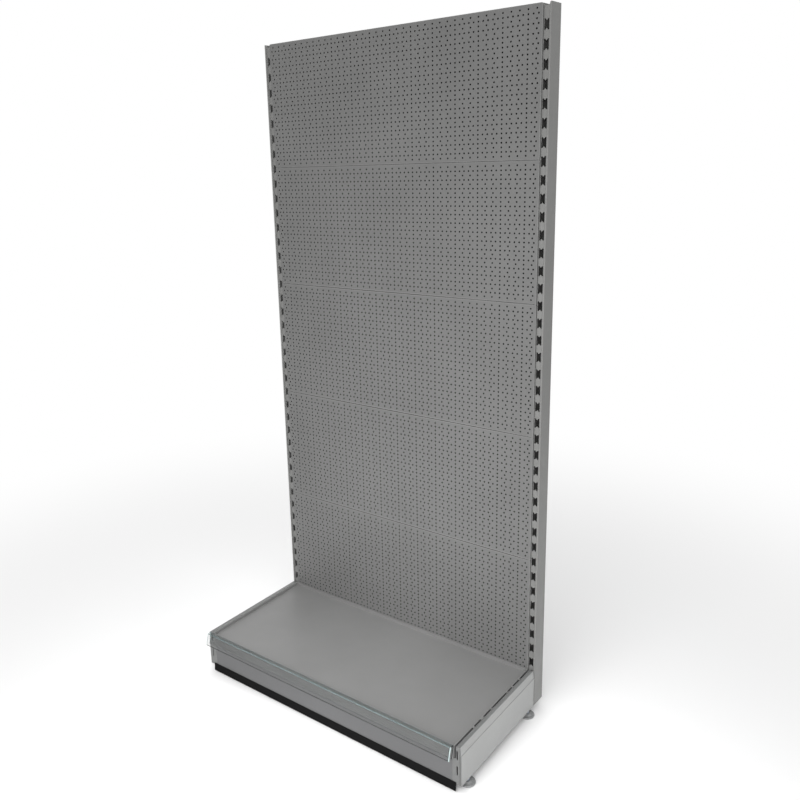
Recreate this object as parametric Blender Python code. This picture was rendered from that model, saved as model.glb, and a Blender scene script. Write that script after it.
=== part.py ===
"""Wall bay of a gondola shelving unit.

Two slotted uprights joined by rear tie bars, five back panels between them,
a pair of folded base legs on levelling feet, a lift-off base shelf with a
clear label rail along its front, and a clip-on kick plate with a floor skirt.

Frame: metres, +Z up, +X to the shopper's right, the front faces -Y.
The floor is Z = 0 and the origin is under the middle of the bounding box.
All lengths below are in millimetres; place() turns them into metres.
Depths run along Y from the face of the back panels, negative forward.
"""

import math

import bmesh
import bpy

for old in list(bpy.data.objects):
    bpy.data.objects.remove(old, do_unlink=True)

MM = 0.001  # metres in a millimetre
GAP = 0.3  # clearance between neighbouring pieces
OVERCUT = 1  # how far a cutter runs past the sheet it cuts
SIDES = (("left", -1), ("right", 1))

# ---- overall size ----
BAY = 1000  # upright centre to upright centre
HEIGHT = 2130  # floor to the top of the uprights and panels
FRONT_REACH = 474.8  # panel face to the front of the label lens
BACK_REACH = 61.4  # panel face to the back of the uprights
Y_FACE = (FRONT_REACH - BACK_REACH) / 2  # the panel face's place in Y
FRAME_BOTTOM = 24  # underside of the uprights and of the base legs

# ---- uprights and their slots ----
POST_W, POST_T = 30, 1.8
POST_INNER = BAY / 2 - POST_W / 2  # the faces of an upright in X
POST_OUTER = BAY / 2 + POST_W / 2
POST_FRONT = 1.4  # crest of the two front beads
WEB_FRONT = 6.4  # face of the recessed slotted web
BEAD_W = 5.4
BACK_LIP = 10

SLOT_PITCH = 50
SLOT_TOP_Z = HEIGHT - 54.25
SLOT_COUNT = 41
SLOT_W, SLOT_H = 14.2, 28.6
SLOT_V_W, SLOT_V_D = 6.8, 5.0

# ---- rear tie bars ----
TIE_Z = {"top": 2052, "bottom": 66}  # centres of the bars
TIE_FRONT, TIE_BACK = 20, 35.5
TIE_T = 1.5
TIE_HALF_H = 25

# ---- base legs, shared with the feet and the kick plate ----
LEG_T = 1.5
LEG_FRONT, LEG_BACK = -449.6, -0.4
CLIP_Z, CLIP_DEPTH = 70, -416  # centre of the button on a kick plate clip
FOOT_X = 503
FOOT_FRONT, FOOT_REAR = -398, -25  # depths of the feet

# ---- finishes: a name ending and Principled BSDF values ----
FRAME_PAINT = dict(ending="paint", colour=(0.42, 0.42, 0.41), roughness=0.45)
PANEL_PAINT = dict(ending="paint", colour=(0.22, 0.22, 0.215), roughness=0.5)
SHELF_PAINT = dict(ending="paint", colour=(0.25, 0.25, 0.245), roughness=0.45)
STIFFENER_PAINT = dict(ending="paint", colour=(0.25, 0.25, 0.245), roughness=0.5)
KICK_PAINT = dict(ending="paint", colour=(0.2, 0.2, 0.205), roughness=0.5)
PAD_PLASTIC = dict(ending="plastic", colour=(0.2, 0.2, 0.2), roughness=0.55)
STUD_ZINC = dict(ending="zinc", colour=(0.6, 0.62, 0.65), roughness=0.3, metallic=1.0)
NUT_ZINC = dict(ending="zinc", colour=(0.6, 0.62, 0.65), roughness=0.35, metallic=1.0)
CLIP_STEEL = dict(ending="steel", colour=(0.55, 0.56, 0.58), roughness=0.3, metallic=1.0)
RAIL_CLEAR = dict(ending="clear", colour=(0.78, 0.82, 0.82), roughness=0.2, alpha=0.35)
LENS_CLEAR = dict(ending="clear", colour=(0.85, 0.9, 0.9), roughness=0.12, alpha=0.3)
SKIRT_RUBBER = dict(ending="rubber", colour=(0.012, 0.012, 0.013), roughness=0.6)


def material(piece_name, ending, colour, roughness, metallic=0.0, alpha=1.0):
    """One Principled BSDF material, named after its piece."""
    mat = bpy.data.materials.new(f"{piece_name}_{ending}")
    mat.use_nodes = True
    shader = mat.node_tree.nodes["Principled BSDF"]
    shader.inputs["Base Color"].default_value = (*colour, 1.0)
    shader.inputs["Roughness"].default_value = roughness
    shader.inputs["Metallic"].default_value = metallic
    shader.inputs["Alpha"].default_value = alpha
    mat.diffuse_color = (*colour, alpha)
    return mat


# ---- flat outlines ----
def folded(path, thickness):
    """The section of a folded sheet: its outer line, thickened to the right."""
    normals = []
    for (ax, ay), (bx, by) in zip(path, path[1:]):
        length = math.hypot(bx - ax, by - ay)
        normals.append(((by - ay) / length, -(bx - ax) / length))
    # each point lies between two stretches; an end point uses its own twice
    inner = []
    for (x, y), (ax, ay), (bx, by) in zip(path, normals[:1] + normals, normals + normals[-1:]):
        share = thickness / (1 + ax * bx + ay * by)
        inner.append((x + (ax + bx) * share, y + (ay + by) * share))
    return list(path) + inner[::-1]


def mirrored(points, side):
    """An outline drawn for the right side (side 1), or its left twin (side -1)."""
    return [(side * x, y) for x, y in points]


def hook_outline(root, toe, tip, underside, toe_end, top):
    """A strap from root to tip, with a toe that hangs down at the tip."""
    return [
        (root, underside),
        (toe, underside),
        (toe, toe_end),
        (tip, toe_end),
        (tip, top),
        (root, top),
    ]


# ---- solids ----
def place(x, depth, z):
    """Scene coordinates in metres of a point given in millimetres."""
    return (x * MM, (Y_FACE + depth) * MM, z * MM)


def prism(points, axis, start, end):
    """A closed prism: a flat outline swept along one axis.

    X sweeps (depth, z) points, Y sweeps (x, z) points, Z sweeps (x, depth) points.
    """
    position = {
        "X": lambda p, along: place(along, p[0], p[1]),
        "Y": lambda p, along: place(p[0], along, p[1]),
        "Z": lambda p, along: place(p[0], p[1], along),
    }[axis]
    low, high = sorted((start, end))
    bm = bmesh.new()
    first = [bm.verts.new(position(p, low)) for p in points]
    last = [bm.verts.new(position(p, high)) for p in points]
    bm.faces.new(first)
    bm.faces.new(list(reversed(last)))
    count = len(points)
    for i in range(count):
        j = (i + 1) % count
        bm.faces.new((first[i], last[i], last[j], first[j]))
    bmesh.ops.recalc_face_normals(bm, faces=bm.faces)
    return bm


def box(x0, x1, depth0, depth1, z0, z1):
    """A closed box between two corners; x0 and x1 come in either order."""
    x0, x1 = sorted((x0, x1))
    corners = [(x0, depth0), (x1, depth0), (x1, depth1), (x0, depth1)]
    return prism(corners, "Z", z0, z1)


def turned(profile, segments, centre):
    """A solid of revolution about a vertical line at (x, depth).

    The profile is (radius, z) points and starts and ends on the line.
    """
    bm = bmesh.new()
    rings = []
    for radius, z in profile:
        if radius == 0:
            rings.append([bm.verts.new(place(*centre, z))])
            continue
        ring = []
        for k in range(segments):
            angle = 2 * math.pi * k / segments
            x = centre[0] + radius * math.cos(angle)
            depth = centre[1] + radius * math.sin(angle)
            ring.append(bm.verts.new(place(x, depth, z)))
        rings.append(ring)
    for a, b in zip(rings, rings[1:]):
        for k in range(segments):
            j = (k + 1) % segments
            if len(a) == 1:
                bm.faces.new((a[0], b[j], b[k]))
            elif len(b) == 1:
                bm.faces.new((a[k], a[j], b[0]))
            else:
                bm.faces.new((a[k], a[j], b[j], b[k]))
    bmesh.ops.recalc_face_normals(bm, faces=bm.faces)
    return bm


def cylinder(radius, centre, z0, z1):
    """An upright cylinder, used as the cutter of a round hole."""
    return turned([(0, z0), (radius, z0), (radius, z1), (0, z1)], 24, centre)


def hexagon(across_flats, centre, z0, z1):
    """A hexagonal prism standing on its end."""
    radius = across_flats / 2 / math.cos(math.pi / 6)
    angles = [math.pi / 6 + k * math.pi / 3 for k in range(6)]
    points = [
        (centre[0] + radius * math.cos(angle), centre[1] + radius * math.sin(angle))
        for angle in angles
    ]
    return prism(points, "Z", z0, z1)


# ---- objects ----
def as_object(name, bm):
    mesh = bpy.data.meshes.new(name)
    bm.to_mesh(mesh)
    bm.free()
    obj = bpy.data.objects.new(name, mesh)
    bpy.context.scene.collection.objects.link(obj)
    return obj


def joined(parts):
    """Several closed shapes in one mesh, for use as one cutter."""
    whole = bmesh.new()
    for part in parts:
        spare = bpy.data.meshes.new("spare")
        part.to_mesh(spare)
        part.free()
        whole.from_mesh(spare)
        bpy.data.meshes.remove(spare)
    return whole


def combine(target, tool, operation):
    """Apply one exact Boolean to the target and drop the tool."""
    tool.hide_render = True
    mod = target.modifiers.new("combine", "BOOLEAN")
    mod.operation = operation
    mod.solver = "EXACT"
    mod.object = tool
    bpy.context.view_layer.update()
    graph = bpy.context.evaluated_depsgraph_get()
    mesh = bpy.data.meshes.new_from_object(target.evaluated_get(graph))
    target.modifiers.remove(mod)
    target.data = mesh
    bpy.data.objects.remove(tool, do_unlink=True)


def hang(obj, parent):
    """Parent an object without moving it."""
    bpy.context.view_layer.update()
    obj.parent = parent
    obj.matrix_parent_inverse = parent.matrix_world.inverted()


def pivot(name, x, depth, z):
    """An empty on a joint's axis, for moving pieces to hang from."""
    empty = bpy.data.objects.new(name, None)
    empty.empty_display_size = 0.03
    empty.location = place(x, depth, z)
    bpy.context.scene.collection.objects.link(empty)
    return empty


def piece(name, solids, finish, cuts=(), parent=None, origin=None, smooth=False):
    """Union the solids, cut the cutters away and finish the object.

    The origin is an (x, depth, z) point; without one it stays at the scene's.
    """
    obj = as_object(name, solids[0])
    for k, extra in enumerate(solids[1:]):
        combine(obj, as_object(f"{name}_add{k}", extra), "UNION")
    if cuts:
        combine(obj, as_object(f"{name}_cut", joined(cuts)), "DIFFERENCE")
    bm = bmesh.new()
    bm.from_mesh(obj.data)
    # clear away doubled points and flat seams left by the Booleans
    bmesh.ops.remove_doubles(bm, verts=bm.verts, dist=1e-6)
    bmesh.ops.dissolve_limit(
        bm, angle_limit=0.0005, verts=bm.verts, edges=bm.edges, delimit={"NORMAL"}
    )
    if origin:
        obj.location = place(*origin)
        bmesh.ops.translate(bm, verts=bm.verts, vec=[-v for v in place(*origin)])
    mesh = bpy.data.meshes.new(name)
    bm.to_mesh(mesh)
    bm.free()
    obj.data = mesh
    mesh.materials.append(material(name, **finish))
    if smooth:
        mesh.shade_smooth()
        mesh.set_sharp_from_angle(angle=math.radians(35))
    if parent:
        hang(obj, parent)
    return obj


# ---- uprights ----
NOTCH_DEPTH = 8  # from the top of the upright down to the web
NOTCH_HALF_BOTTOM = 5
NOTCH_HALF_TOP = 13.5  # at the cutter's top, above the upright
NOTCH_BACK = WEB_FRONT + POST_T + 1.2
ENTRY_BELOW, ENTRY_ABOVE = 8.4, 20.4  # entry slot's reach from the tie bar centre


def slot_z(k):
    """Centre of a slot, counted from 0 at the top."""
    return SLOT_TOP_Z - SLOT_PITCH * k


def slot_outline(centre_x, centre_z):
    """A hook slot with a V tooth in the middle of its top and bottom edge."""
    half_w, half_h, half_v = SLOT_W / 2, SLOT_H / 2, SLOT_V_W / 2
    local = [
        (-half_w, half_h),
        (-half_v, half_h),
        (0, half_h - SLOT_V_D),
        (half_v, half_h),
        (half_w, half_h),
        (half_w, -half_h),
        (half_v, -half_h),
        (0, -half_h + SLOT_V_D),
        (-half_v, -half_h),
        (-half_w, -half_h),
    ]
    return [(centre_x + x, centre_z + z) for x, z in local]


def upright_section(centre):
    """A C section open at the back, its web recessed between two beads."""
    half = POST_W / 2
    bead = half - BEAD_W
    outline = [
        (half - BACK_LIP, BACK_REACH),
        (half, BACK_REACH),
        (half, POST_FRONT),
        (bead, POST_FRONT),
        (bead, WEB_FRONT),
        (-bead, WEB_FRONT),
        (-bead, POST_FRONT),
        (-half, POST_FRONT),
        (-half, BACK_REACH),
        (-half + BACK_LIP, BACK_REACH),
    ]
    return [(centre + x, depth) for x, depth in folded(outline, POST_T)]


def upright(name, side):
    centre = side * BAY / 2
    cuts = [
        prism(
            slot_outline(centre, slot_z(k)),
            "Y",
            WEB_FRONT - OVERCUT,
            WEB_FRONT + POST_T + OVERCUT,
        )
        for k in range(SLOT_COUNT)
    ]
    # the web stops short of the top, with a chamfer up to each bead
    notch = [
        (centre - NOTCH_HALF_BOTTOM, HEIGHT - NOTCH_DEPTH),
        (centre + NOTCH_HALF_BOTTOM, HEIGHT - NOTCH_DEPTH),
        (centre + NOTCH_HALF_TOP, HEIGHT + OVERCUT),
        (centre - NOTCH_HALF_TOP, HEIGHT + OVERCUT),
    ]
    cuts.append(prism(notch, "Y", 0, NOTCH_BACK))
    # entry slots for the tie bar hooks, in the wall that faces the bay
    for tie_z in TIE_Z.values():
        cuts.append(
            box(
                side * (POST_INNER - OVERCUT),
                side * (POST_INNER + POST_T + OVERCUT),
                TIE_BACK - TIE_T - GAP,
                TIE_BACK + GAP,
                tie_z - ENTRY_BELOW,
                tie_z + ENTRY_ABOVE,
            )
        )
    body = prism(upright_section(centre), "Z", FRAME_BOTTOM, HEIGHT)
    piece(name, [body], FRAME_PAINT, cuts)


for label, side in SIDES:
    upright(f"upright_{label}", side)


# ---- rear tie bars ----
TIE_HALF = POST_INNER - 0.5
TIE_HOOK_ROOT = TIE_HALF - 3
TIE_HOOK_TIP = POST_INNER + 4.6


def tie_bar(name, centre_z):
    """A channel open to the front, with a hook at each end."""
    path = [
        (TIE_FRONT, centre_z + TIE_HALF_H),
        (TIE_BACK, centre_z + TIE_HALF_H),
        (TIE_BACK, centre_z - TIE_HALF_H),
        (TIE_FRONT, centre_z - TIE_HALF_H),
    ]
    solids = [prism(folded(path, TIE_T), "X", -TIE_HALF, TIE_HALF)]
    hook = hook_outline(
        root=TIE_HOOK_ROOT,
        toe=POST_INNER + POST_T + GAP,
        tip=TIE_HOOK_TIP,
        underside=centre_z - 8,
        toe_end=centre_z - 15,
        top=centre_z + 12,
    )
    for _, side in SIDES:
        solids.append(prism(mirrored(hook, side), "Y", TIE_BACK - TIE_T, TIE_BACK))
    piece(name, solids, FRAME_PAINT)


for label, tie_z in TIE_Z.items():
    tie_bar(f"rear_tie_bar_{label}", tie_z)


# ---- back panels ----
PANEL_COUNT = 5
PANEL_PITCH = 400
PANEL_HALF = 491.5
PANEL_FOLD_HALF = POST_INNER - 1  # half length of the top and bottom folds
PANEL_T = 1.0
PANEL_SEAM = 0.8
PANEL_FLANGE = 15
PANEL_LIP = 12
PANEL_HOOK_T = 1.2
PANEL_HOOK_OUT = 494.6  # outer face of the hooks in X
PANEL_SIDE_BACK = 5.8  # back edge of the side flanges
PANEL_SLOTS = round(PANEL_PITCH / SLOT_PITCH)  # slots beside each panel
HOOK_SLOTS = (1, 6)  # those that take a hook


def panel_hook(side, centre_z):
    """A strap out from the side flange and the hook at its end."""
    strap = box(
        side * (PANEL_HALF - PANEL_T),
        side * PANEL_HOOK_OUT,
        PANEL_SIDE_BACK - PANEL_HOOK_T,
        PANEL_SIDE_BACK,
        centre_z - 14,
        centre_z,
    )
    outline = hook_outline(
        root=4.8,
        toe=8.6,
        tip=11.2,
        underside=centre_z - 14,
        toe_end=centre_z - 21,
        top=centre_z,
    )
    inner, outer = side * (PANEL_HOOK_OUT - PANEL_HOOK_T), side * PANEL_HOOK_OUT
    return [strap, prism(outline, "X", inner, outer)]


def back_panel(index):
    """A tray with lipped folds along its top and bottom; index 0 is the top one."""
    top = HEIGHT - PANEL_PITCH * index
    low = top - PANEL_PITCH + PANEL_SEAM
    path = [
        (PANEL_FLANGE, low + PANEL_LIP),
        (PANEL_FLANGE, low),
        (0, low),
        (0, top),
        (PANEL_FLANGE, top),
        (PANEL_FLANGE, top - PANEL_LIP),
    ]
    solids = [
        prism(folded(path, PANEL_T), "X", -PANEL_FOLD_HALF, PANEL_FOLD_HALF),
        box(-PANEL_HALF, PANEL_HALF, 0, PANEL_T, low, top),
    ]
    for _, side in SIDES:
        inner, outer = side * (PANEL_HALF - PANEL_T), side * PANEL_HALF
        solids.append(box(inner, outer, 0, PANEL_SIDE_BACK, low, top))
        for k in HOOK_SLOTS:
            solids += panel_hook(side, slot_z(PANEL_SLOTS * index + k))
    piece(f"back_panel_{index + 1}", solids, PANEL_PAINT)


for index in range(PANEL_COUNT):
    back_panel(index)


# ---- base legs ----
LEG_TOP = 150
LEG_LEDGE = 109.7  # step on the side that faces the bay
LEG_CREASE = 123  # where the outer wall starts to lean in
LEG_LIP = POST_OUTER - 17.5
LEG_CLAW_X = (503.8, 506.8)
KEYHOLE_X, KEYHOLE_Z = 501.2, (71, 121)
KEYHOLE_HALF_W, KEYHOLE_HALF_H, KEYHOLE_CHAMFER = 2.2, 15, 1.6
FLAP_GAP_X, FLAP_GAP_Z = (509.6, 511.2), (27, 144)
FOOT_HOLE_R = 5.6
CLIP_HOLE_HALF = 2.8


def keyhole_outline(centre_x, centre_z):
    """A tall slot with chamfered corners."""
    half_w, half_h, chamfer = KEYHOLE_HALF_W, KEYHOLE_HALF_H, KEYHOLE_CHAMFER
    local = [
        (-half_w, -half_h + chamfer),
        (-half_w + chamfer, -half_h),
        (half_w - chamfer, -half_h),
        (half_w, -half_h + chamfer),
        (half_w, half_h - chamfer),
        (half_w - chamfer, half_h),
        (-half_w + chamfer, half_h),
        (-half_w, half_h - chamfer),
    ]
    return [(centre_x + x, centre_z + z) for x, z in local]


def leg_solids(side):
    outline = [
        (POST_OUTER - 2.2, FRAME_BOTTOM),
        (POST_INNER, FRAME_BOTTOM),
        (POST_INNER, LEG_LEDGE),
        (LEG_LIP, LEG_LEDGE),
        (LEG_LIP, LEG_TOP),
        (POST_OUTER - 2.5, LEG_TOP),
        (POST_OUTER, LEG_CREASE),
        (POST_OUTER, FRAME_BOTTOM),
    ]
    section = mirrored(folded(outline, LEG_T), side)
    end_plate = mirrored(outline[1:], side)
    solids = [
        prism(section, "Y", LEG_FRONT + 0.6, LEG_BACK),
        prism(end_plate, "Y", LEG_FRONT, LEG_FRONT + LEG_T),
        prism(end_plate, "Y", LEG_BACK - LEG_T, LEG_BACK),
    ]
    # two claws on the back plate drop into the lowest slots of the upright
    for k in (SLOT_COUNT - 2, SLOT_COUNT - 1):
        centre_z = slot_z(k)
        claw = hook_outline(
            root=-1.2,
            toe=8.6,
            tip=11.4,
            underside=centre_z - 13.9,
            toe_end=centre_z - 22,
            top=centre_z + 2,
        )
        solids.append(prism(claw, "X", side * LEG_CLAW_X[0], side * LEG_CLAW_X[1]))
    return solids


def leg_cuts(side):
    plate_span = (LEG_FRONT - OVERCUT, LEG_FRONT + LEG_T + OVERCUT)
    cuts = [
        prism(mirrored(keyhole_outline(KEYHOLE_X, z), side), "Y", *plate_span)
        for z in KEYHOLE_Z
    ]
    # the front flap stops short of the outer wall
    cuts.append(box(side * FLAP_GAP_X[0], side * FLAP_GAP_X[1], *plate_span, *FLAP_GAP_Z))
    for depth in (FOOT_FRONT, FOOT_REAR):
        low, high = FRAME_BOTTOM - OVERCUT, FRAME_BOTTOM + LEG_T + OVERCUT
        cuts.append(cylinder(FOOT_HOLE_R, (side * FOOT_X, depth), low, high))
    # hole for the button of the kick plate clip
    cuts.append(
        box(
            side * (POST_INNER - OVERCUT),
            side * (POST_INNER + LEG_T + OVERCUT),
            CLIP_DEPTH - CLIP_HOLE_HALF,
            CLIP_DEPTH + CLIP_HOLE_HALF,
            CLIP_Z - CLIP_HOLE_HALF,
            CLIP_Z + CLIP_HOLE_HALF,
        )
    )
    return cuts


for label, side in SIDES:
    piece(f"base_leg_{label}", leg_solids(side), FRAME_PAINT, leg_cuts(side))


# ---- levelling feet ----
PAD_R = 25
STUD_R = 4.9
STUD_HEX_Z = (9.2, 15)
NUT_LOW = FRAME_BOTTOM + LEG_T + GAP
NUT_H = 8
NUT_BORE_R, NUT_BORE_Z = 5.2, (20, 40)

# (radius, z): round the rim, over the collar, down into the socket
PAD_PROFILE = [
    (0, 0),
    (PAD_R - 1, 0),
    (PAD_R, 1.2),
    (PAD_R, 3.6),
    (PAD_R - 1.4, 5),
    (14, 5.8),
    (10.5, 8.6),
    (5.4, 8.6),
    (5.4, 2.4),
    (0, 2.4),
]
# (radius, z): a plain rod with chamfered ends
STUD_PROFILE = [
    (0, 2.8),
    (STUD_R - 1, 2.8),
    (STUD_R, 3.8),
    (STUD_R, 60.5),
    (STUD_R - 1.2, 62),
    (0, 62),
]


def foot_pad(name, centre, parent):
    piece(name, [turned(PAD_PROFILE, 32, centre)], PAD_PLASTIC, parent=parent, smooth=True)


def foot_stud(name, centre, parent):
    solids = [turned(STUD_PROFILE, 24, centre), hexagon(14, centre, *STUD_HEX_Z)]
    piece(name, solids, STUD_ZINC, parent=parent, origin=(*centre, STUD_HEX_Z[0]))


def foot_nut(name, centre):
    """A nut just above the floor of the leg."""
    bore = cylinder(NUT_BORE_R, centre, *NUT_BORE_Z)
    piece(name, [hexagon(17, centre, NUT_LOW, NUT_LOW + NUT_H)], NUT_ZINC, [bore])


for row, depth in (("front", FOOT_FRONT), ("rear", FOOT_REAR)):
    for label, side in SIDES:
        tag = f"{row}_{label}"
        centre = (side * FOOT_X, depth)
        foot_pivot = pivot(f"pivot_foot_{tag}", *centre, 0)
        foot_pad(f"foot_pad_{tag}", centre, foot_pivot)
        foot_stud(f"foot_stud_{tag}", centre, foot_pivot)
        foot_nut(f"foot_nut_{tag}", centre)


# ---- base shelf ----
SHELF_T = 1.2  # sheet of the shelf, its stiffener and the kick plate
SHELF_HALF = 492.5
SHELF_DECK = 140
SHELF_RIM = 150
SHELF_UNDER = 110
SHELF_BACK = -0.8
TRAY_FRONT = -447.2
SLOPE_TOP = (-450.4, SHELF_RIM)  # (depth, z) ends of the sloped front
SLOPE_LOW = (-459.4, SHELF_UNDER + 1)
STEP = 0.3  # keeps the faces of overlapping solids apart
LUG_RISE = 1.8  # the side wall's rise under each lug
LUG_TIP = 499
BACK_RETURN = 14  # width of the fold under the back wall
SIDE_RETURN_X, SIDE_RETURN_FRONT = 478, -438

# (front depth, length) of the lugs that bridge to the base legs, back to front
LUGS = [(-70, 7), (-117, 7), (-151, 7), (-250, 7), (-309, 16), (-354, 7)]

shelf_pivot = pivot("pivot_base_shelf", 0, -226, SHELF_DECK)


def shelf_side_wall():
    """Outline of a side wall, which rises a little at each lug."""
    outline = [
        (TRAY_FRONT - 0.6, SHELF_UNDER + STEP),
        (SHELF_BACK - STEP / 2, SHELF_UNDER + STEP),
        (SHELF_BACK - STEP / 2, SHELF_RIM),
    ]
    for depth, length in LUGS:
        outline += [
            (depth + length, SHELF_RIM),
            (depth + length, SHELF_RIM + LUG_RISE),
            (depth, SHELF_RIM + LUG_RISE),
            (depth, SHELF_RIM),
        ]
    outline.append((TRAY_FRONT - 0.6, SHELF_RIM))
    return outline


def shelf_side(side):
    """One side wall, the return under it and its lugs."""
    wall, edge = side * (SHELF_HALF - SHELF_T), side * SHELF_HALF
    solids = [
        prism(shelf_side_wall(), "X", wall, edge),
        box(
            side * SIDE_RETURN_X,
            edge - side * STEP / 2,
            SIDE_RETURN_FRONT,
            SHELF_BACK - STEP,
            SHELF_UNDER,
            SHELF_UNDER + SHELF_T - STEP / 2,
        ),
    ]
    for depth, length in LUGS:
        solids.append(
            box(
                wall + side * 0.6,
                side * LUG_TIP,
                depth + STEP,
                depth + length - STEP,
                SHELF_RIM + GAP,
                SHELF_RIM + 1.4,
            )
        )
    return solids


def base_shelf():
    half = SHELF_HALF - STEP
    front_path = [
        (-440, SHELF_UNDER + 9),
        (-440, SHELF_UNDER + 1),
        SLOPE_LOW,
        SLOPE_TOP,
        (TRAY_FRONT, SHELF_RIM),
        (TRAY_FRONT, SHELF_DECK - SHELF_T),
    ]
    deck = box(
        -half,
        half,
        TRAY_FRONT - SHELF_T / 2,
        SHELF_BACK - STEP,
        SHELF_DECK - SHELF_T,
        SHELF_DECK,
    )
    front = prism(folded(front_path, SHELF_T), "X", -half, half)
    back_wall = box(
        -half,
        half,
        SHELF_BACK - SHELF_T,
        SHELF_BACK,
        SHELF_UNDER + STEP,
        SHELF_RIM + 0.5,
    )
    back_return = box(
        -half + STEP,
        half - STEP,
        SHELF_BACK - BACK_RETURN,
        SHELF_BACK - STEP,
        SHELF_UNDER + STEP / 2,
        SHELF_UNDER + SHELF_T,
    )
    solids = [deck, front, back_wall, back_return]
    for _, side in SIDES:
        solids += shelf_side(side)
    piece("base_shelf", solids, SHELF_PAINT, parent=shelf_pivot)


base_shelf()

STIFFENER_HALF = 470
STIFFENER_TOP = SHELF_DECK - SHELF_T - 0.4
STIFFENER_LOW = 114


def shelf_stiffener():
    """A hat channel under the deck, its flanges uppermost."""
    hat = [
        (-262, STIFFENER_TOP),
        (-248, STIFFENER_TOP),
        (-244, STIFFENER_LOW),
        (-210, STIFFENER_LOW),
        (-206, STIFFENER_TOP),
        (-192, STIFFENER_TOP),
    ]
    body = prism(folded(hat, SHELF_T), "X", -STIFFENER_HALF, STIFFENER_HALF)
    piece("shelf_stiffener", [body], STIFFENER_PAINT, parent=shelf_pivot)


shelf_stiffener()

# ---- label rail and its clear lens ----
RAIL_X = (-505, 490)  # ends of the rail and the lens
RAIL_NEAR, RAIL_FAR = 0.35, 1.55  # faces of the web, out from the slope
RAIL_TOE = 3.4  # front of the toe at the web's foot, out from the slope
LENS_TOP = (-463.6, 150.2)  # (depth, z)
LENS_FOOT = (1 - FRONT_REACH, 110.8)
LENS_HINGE = (0, LENS_TOP[0], LENS_TOP[1] + 0.4)

# (depth, z) of the strip that runs forward from the rail's top
RAIL_BRIDGE = [
    (-450.3, 150.4), (-450.3, 151.6), (-461.4, 151.6),
    (-462.4, 150.9), (-462.4, 149.9), (-461.6, 150.4),
]


def off_slope(point, out, up):
    """A point moved out from the shelf's sloped front and up along it."""
    slope = math.atan2(SLOPE_TOP[0] - SLOPE_LOW[0], SLOPE_TOP[1] - SLOPE_LOW[1])
    return (
        point[0] - math.cos(slope) * out + math.sin(slope) * up,
        point[1] + math.sin(slope) * out + math.cos(slope) * up,
    )


def label_rail():
    """A clear extrusion that lies on the sloped front of the shelf."""
    web = [
        off_slope(SLOPE_TOP, RAIL_NEAR, 0.6),
        off_slope(SLOPE_TOP, RAIL_FAR, 0.6),
        off_slope(SLOPE_LOW, RAIL_FAR, 1.4),
        off_slope(SLOPE_LOW, RAIL_TOE, 1.4),
        off_slope(SLOPE_LOW, RAIL_TOE, 0.2),
        off_slope(SLOPE_LOW, RAIL_NEAR, 0.2),
    ]
    solids = [prism(web, "X", *RAIL_X), prism(RAIL_BRIDGE, "X", *RAIL_X)]
    piece("label_rail", solids, RAIL_CLEAR, parent=shelf_pivot)


def label_lens():
    """The sloping clear strip, hung from its top edge."""
    hinge = pivot("pivot_label_lens", *LENS_HINGE)
    hang(hinge, shelf_pivot)
    top, top_z = LENS_TOP
    foot, foot_z = LENS_FOOT
    section = [
        (top + 0.5, top_z + 0.9),
        (top - 0.5, top_z + 0.9),
        (top - 0.9, top_z + 0.4),
        (foot - 1.0, foot_z + 1),
        (foot - 1.0, foot_z),
        (foot + 1.2, foot_z),
        (foot + 1.2, foot_z + 1),
        (foot + 0.1, foot_z + 1.4),
        (top + 0.5, top_z - 0.6),
    ]
    body = prism(section, "X", *RAIL_X)
    piece("label_lens", [body], LENS_CLEAR, parent=hinge, origin=LENS_HINGE)


label_rail()
label_lens()

# ---- kick plate, its clips and the floor skirt ----
KICK_TOP, KICK_BOTTOM = 107.5, 29.5
KICK_HALF = POST_INNER - 0.8
KICK_TOP_BACK = -438  # back edge of the fold along the top
KICK_FLANGE_X = 480
KICK_FLANGE_FRONT, KICK_FLANGE_BACK = LEG_FRONT + 0.4, -428
KICK_TONGUE_BACK = -411

CLIP_T = 0.8
CLIP_HALF_H = 6
CLIP_BUTTON_X = (484.2, 488)
CLIP_BUTTON_HALF = 2.4
# (x, depth) outer line of the right clip's U, open to the front
CLIP_PATH = [(478.0, -425), (478.9, -422), (478.9, -408), (484.6, -408), (484.6, -424)]

SKIRT_X = (-496, 498)
# (depth from the front of the legs, z)
SKIRT_SECTION = [
    (-1.6, 31.5), (-0.3, 31.5), (-0.3, 29.2), (1.5, 29.2), (1.5, 37), (2.8, 37),
    (2.8, 27.1), (-0.4, 25.5), (-2.0, 3), (-4.0, 3), (-2.4, 26.5),
]

kick_pivot = pivot("pivot_kick_plate", 0, LEG_FRONT, KICK_TOP)


def kick_plate():
    """A face with a fold along its top and a tongued flange near each end."""
    path = [(LEG_FRONT, KICK_BOTTOM), (LEG_FRONT, KICK_TOP), (KICK_TOP_BACK, KICK_TOP)]
    flange = [
        (KICK_FLANGE_FRONT, KICK_BOTTOM + 9),
        (KICK_FLANGE_BACK, KICK_BOTTOM + 9),
        (KICK_FLANGE_BACK, CLIP_Z - 8),
        (KICK_TONGUE_BACK, CLIP_Z - 7),
        (KICK_TONGUE_BACK, CLIP_Z + 7),
        (KICK_FLANGE_BACK, CLIP_Z + 8),
        (KICK_FLANGE_BACK, KICK_TOP - 3),
        (KICK_FLANGE_FRONT, KICK_TOP - 3),
    ]
    solids = [prism(folded(path, SHELF_T), "X", -KICK_HALF, KICK_HALF)]
    for _, side in SIDES:
        inner, outer = side * KICK_FLANGE_X, side * (KICK_FLANGE_X + SHELF_T)
        solids.append(prism(flange, "X", inner, outer))
    piece("kick_plate", solids, KICK_PAINT, parent=kick_pivot)


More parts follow.
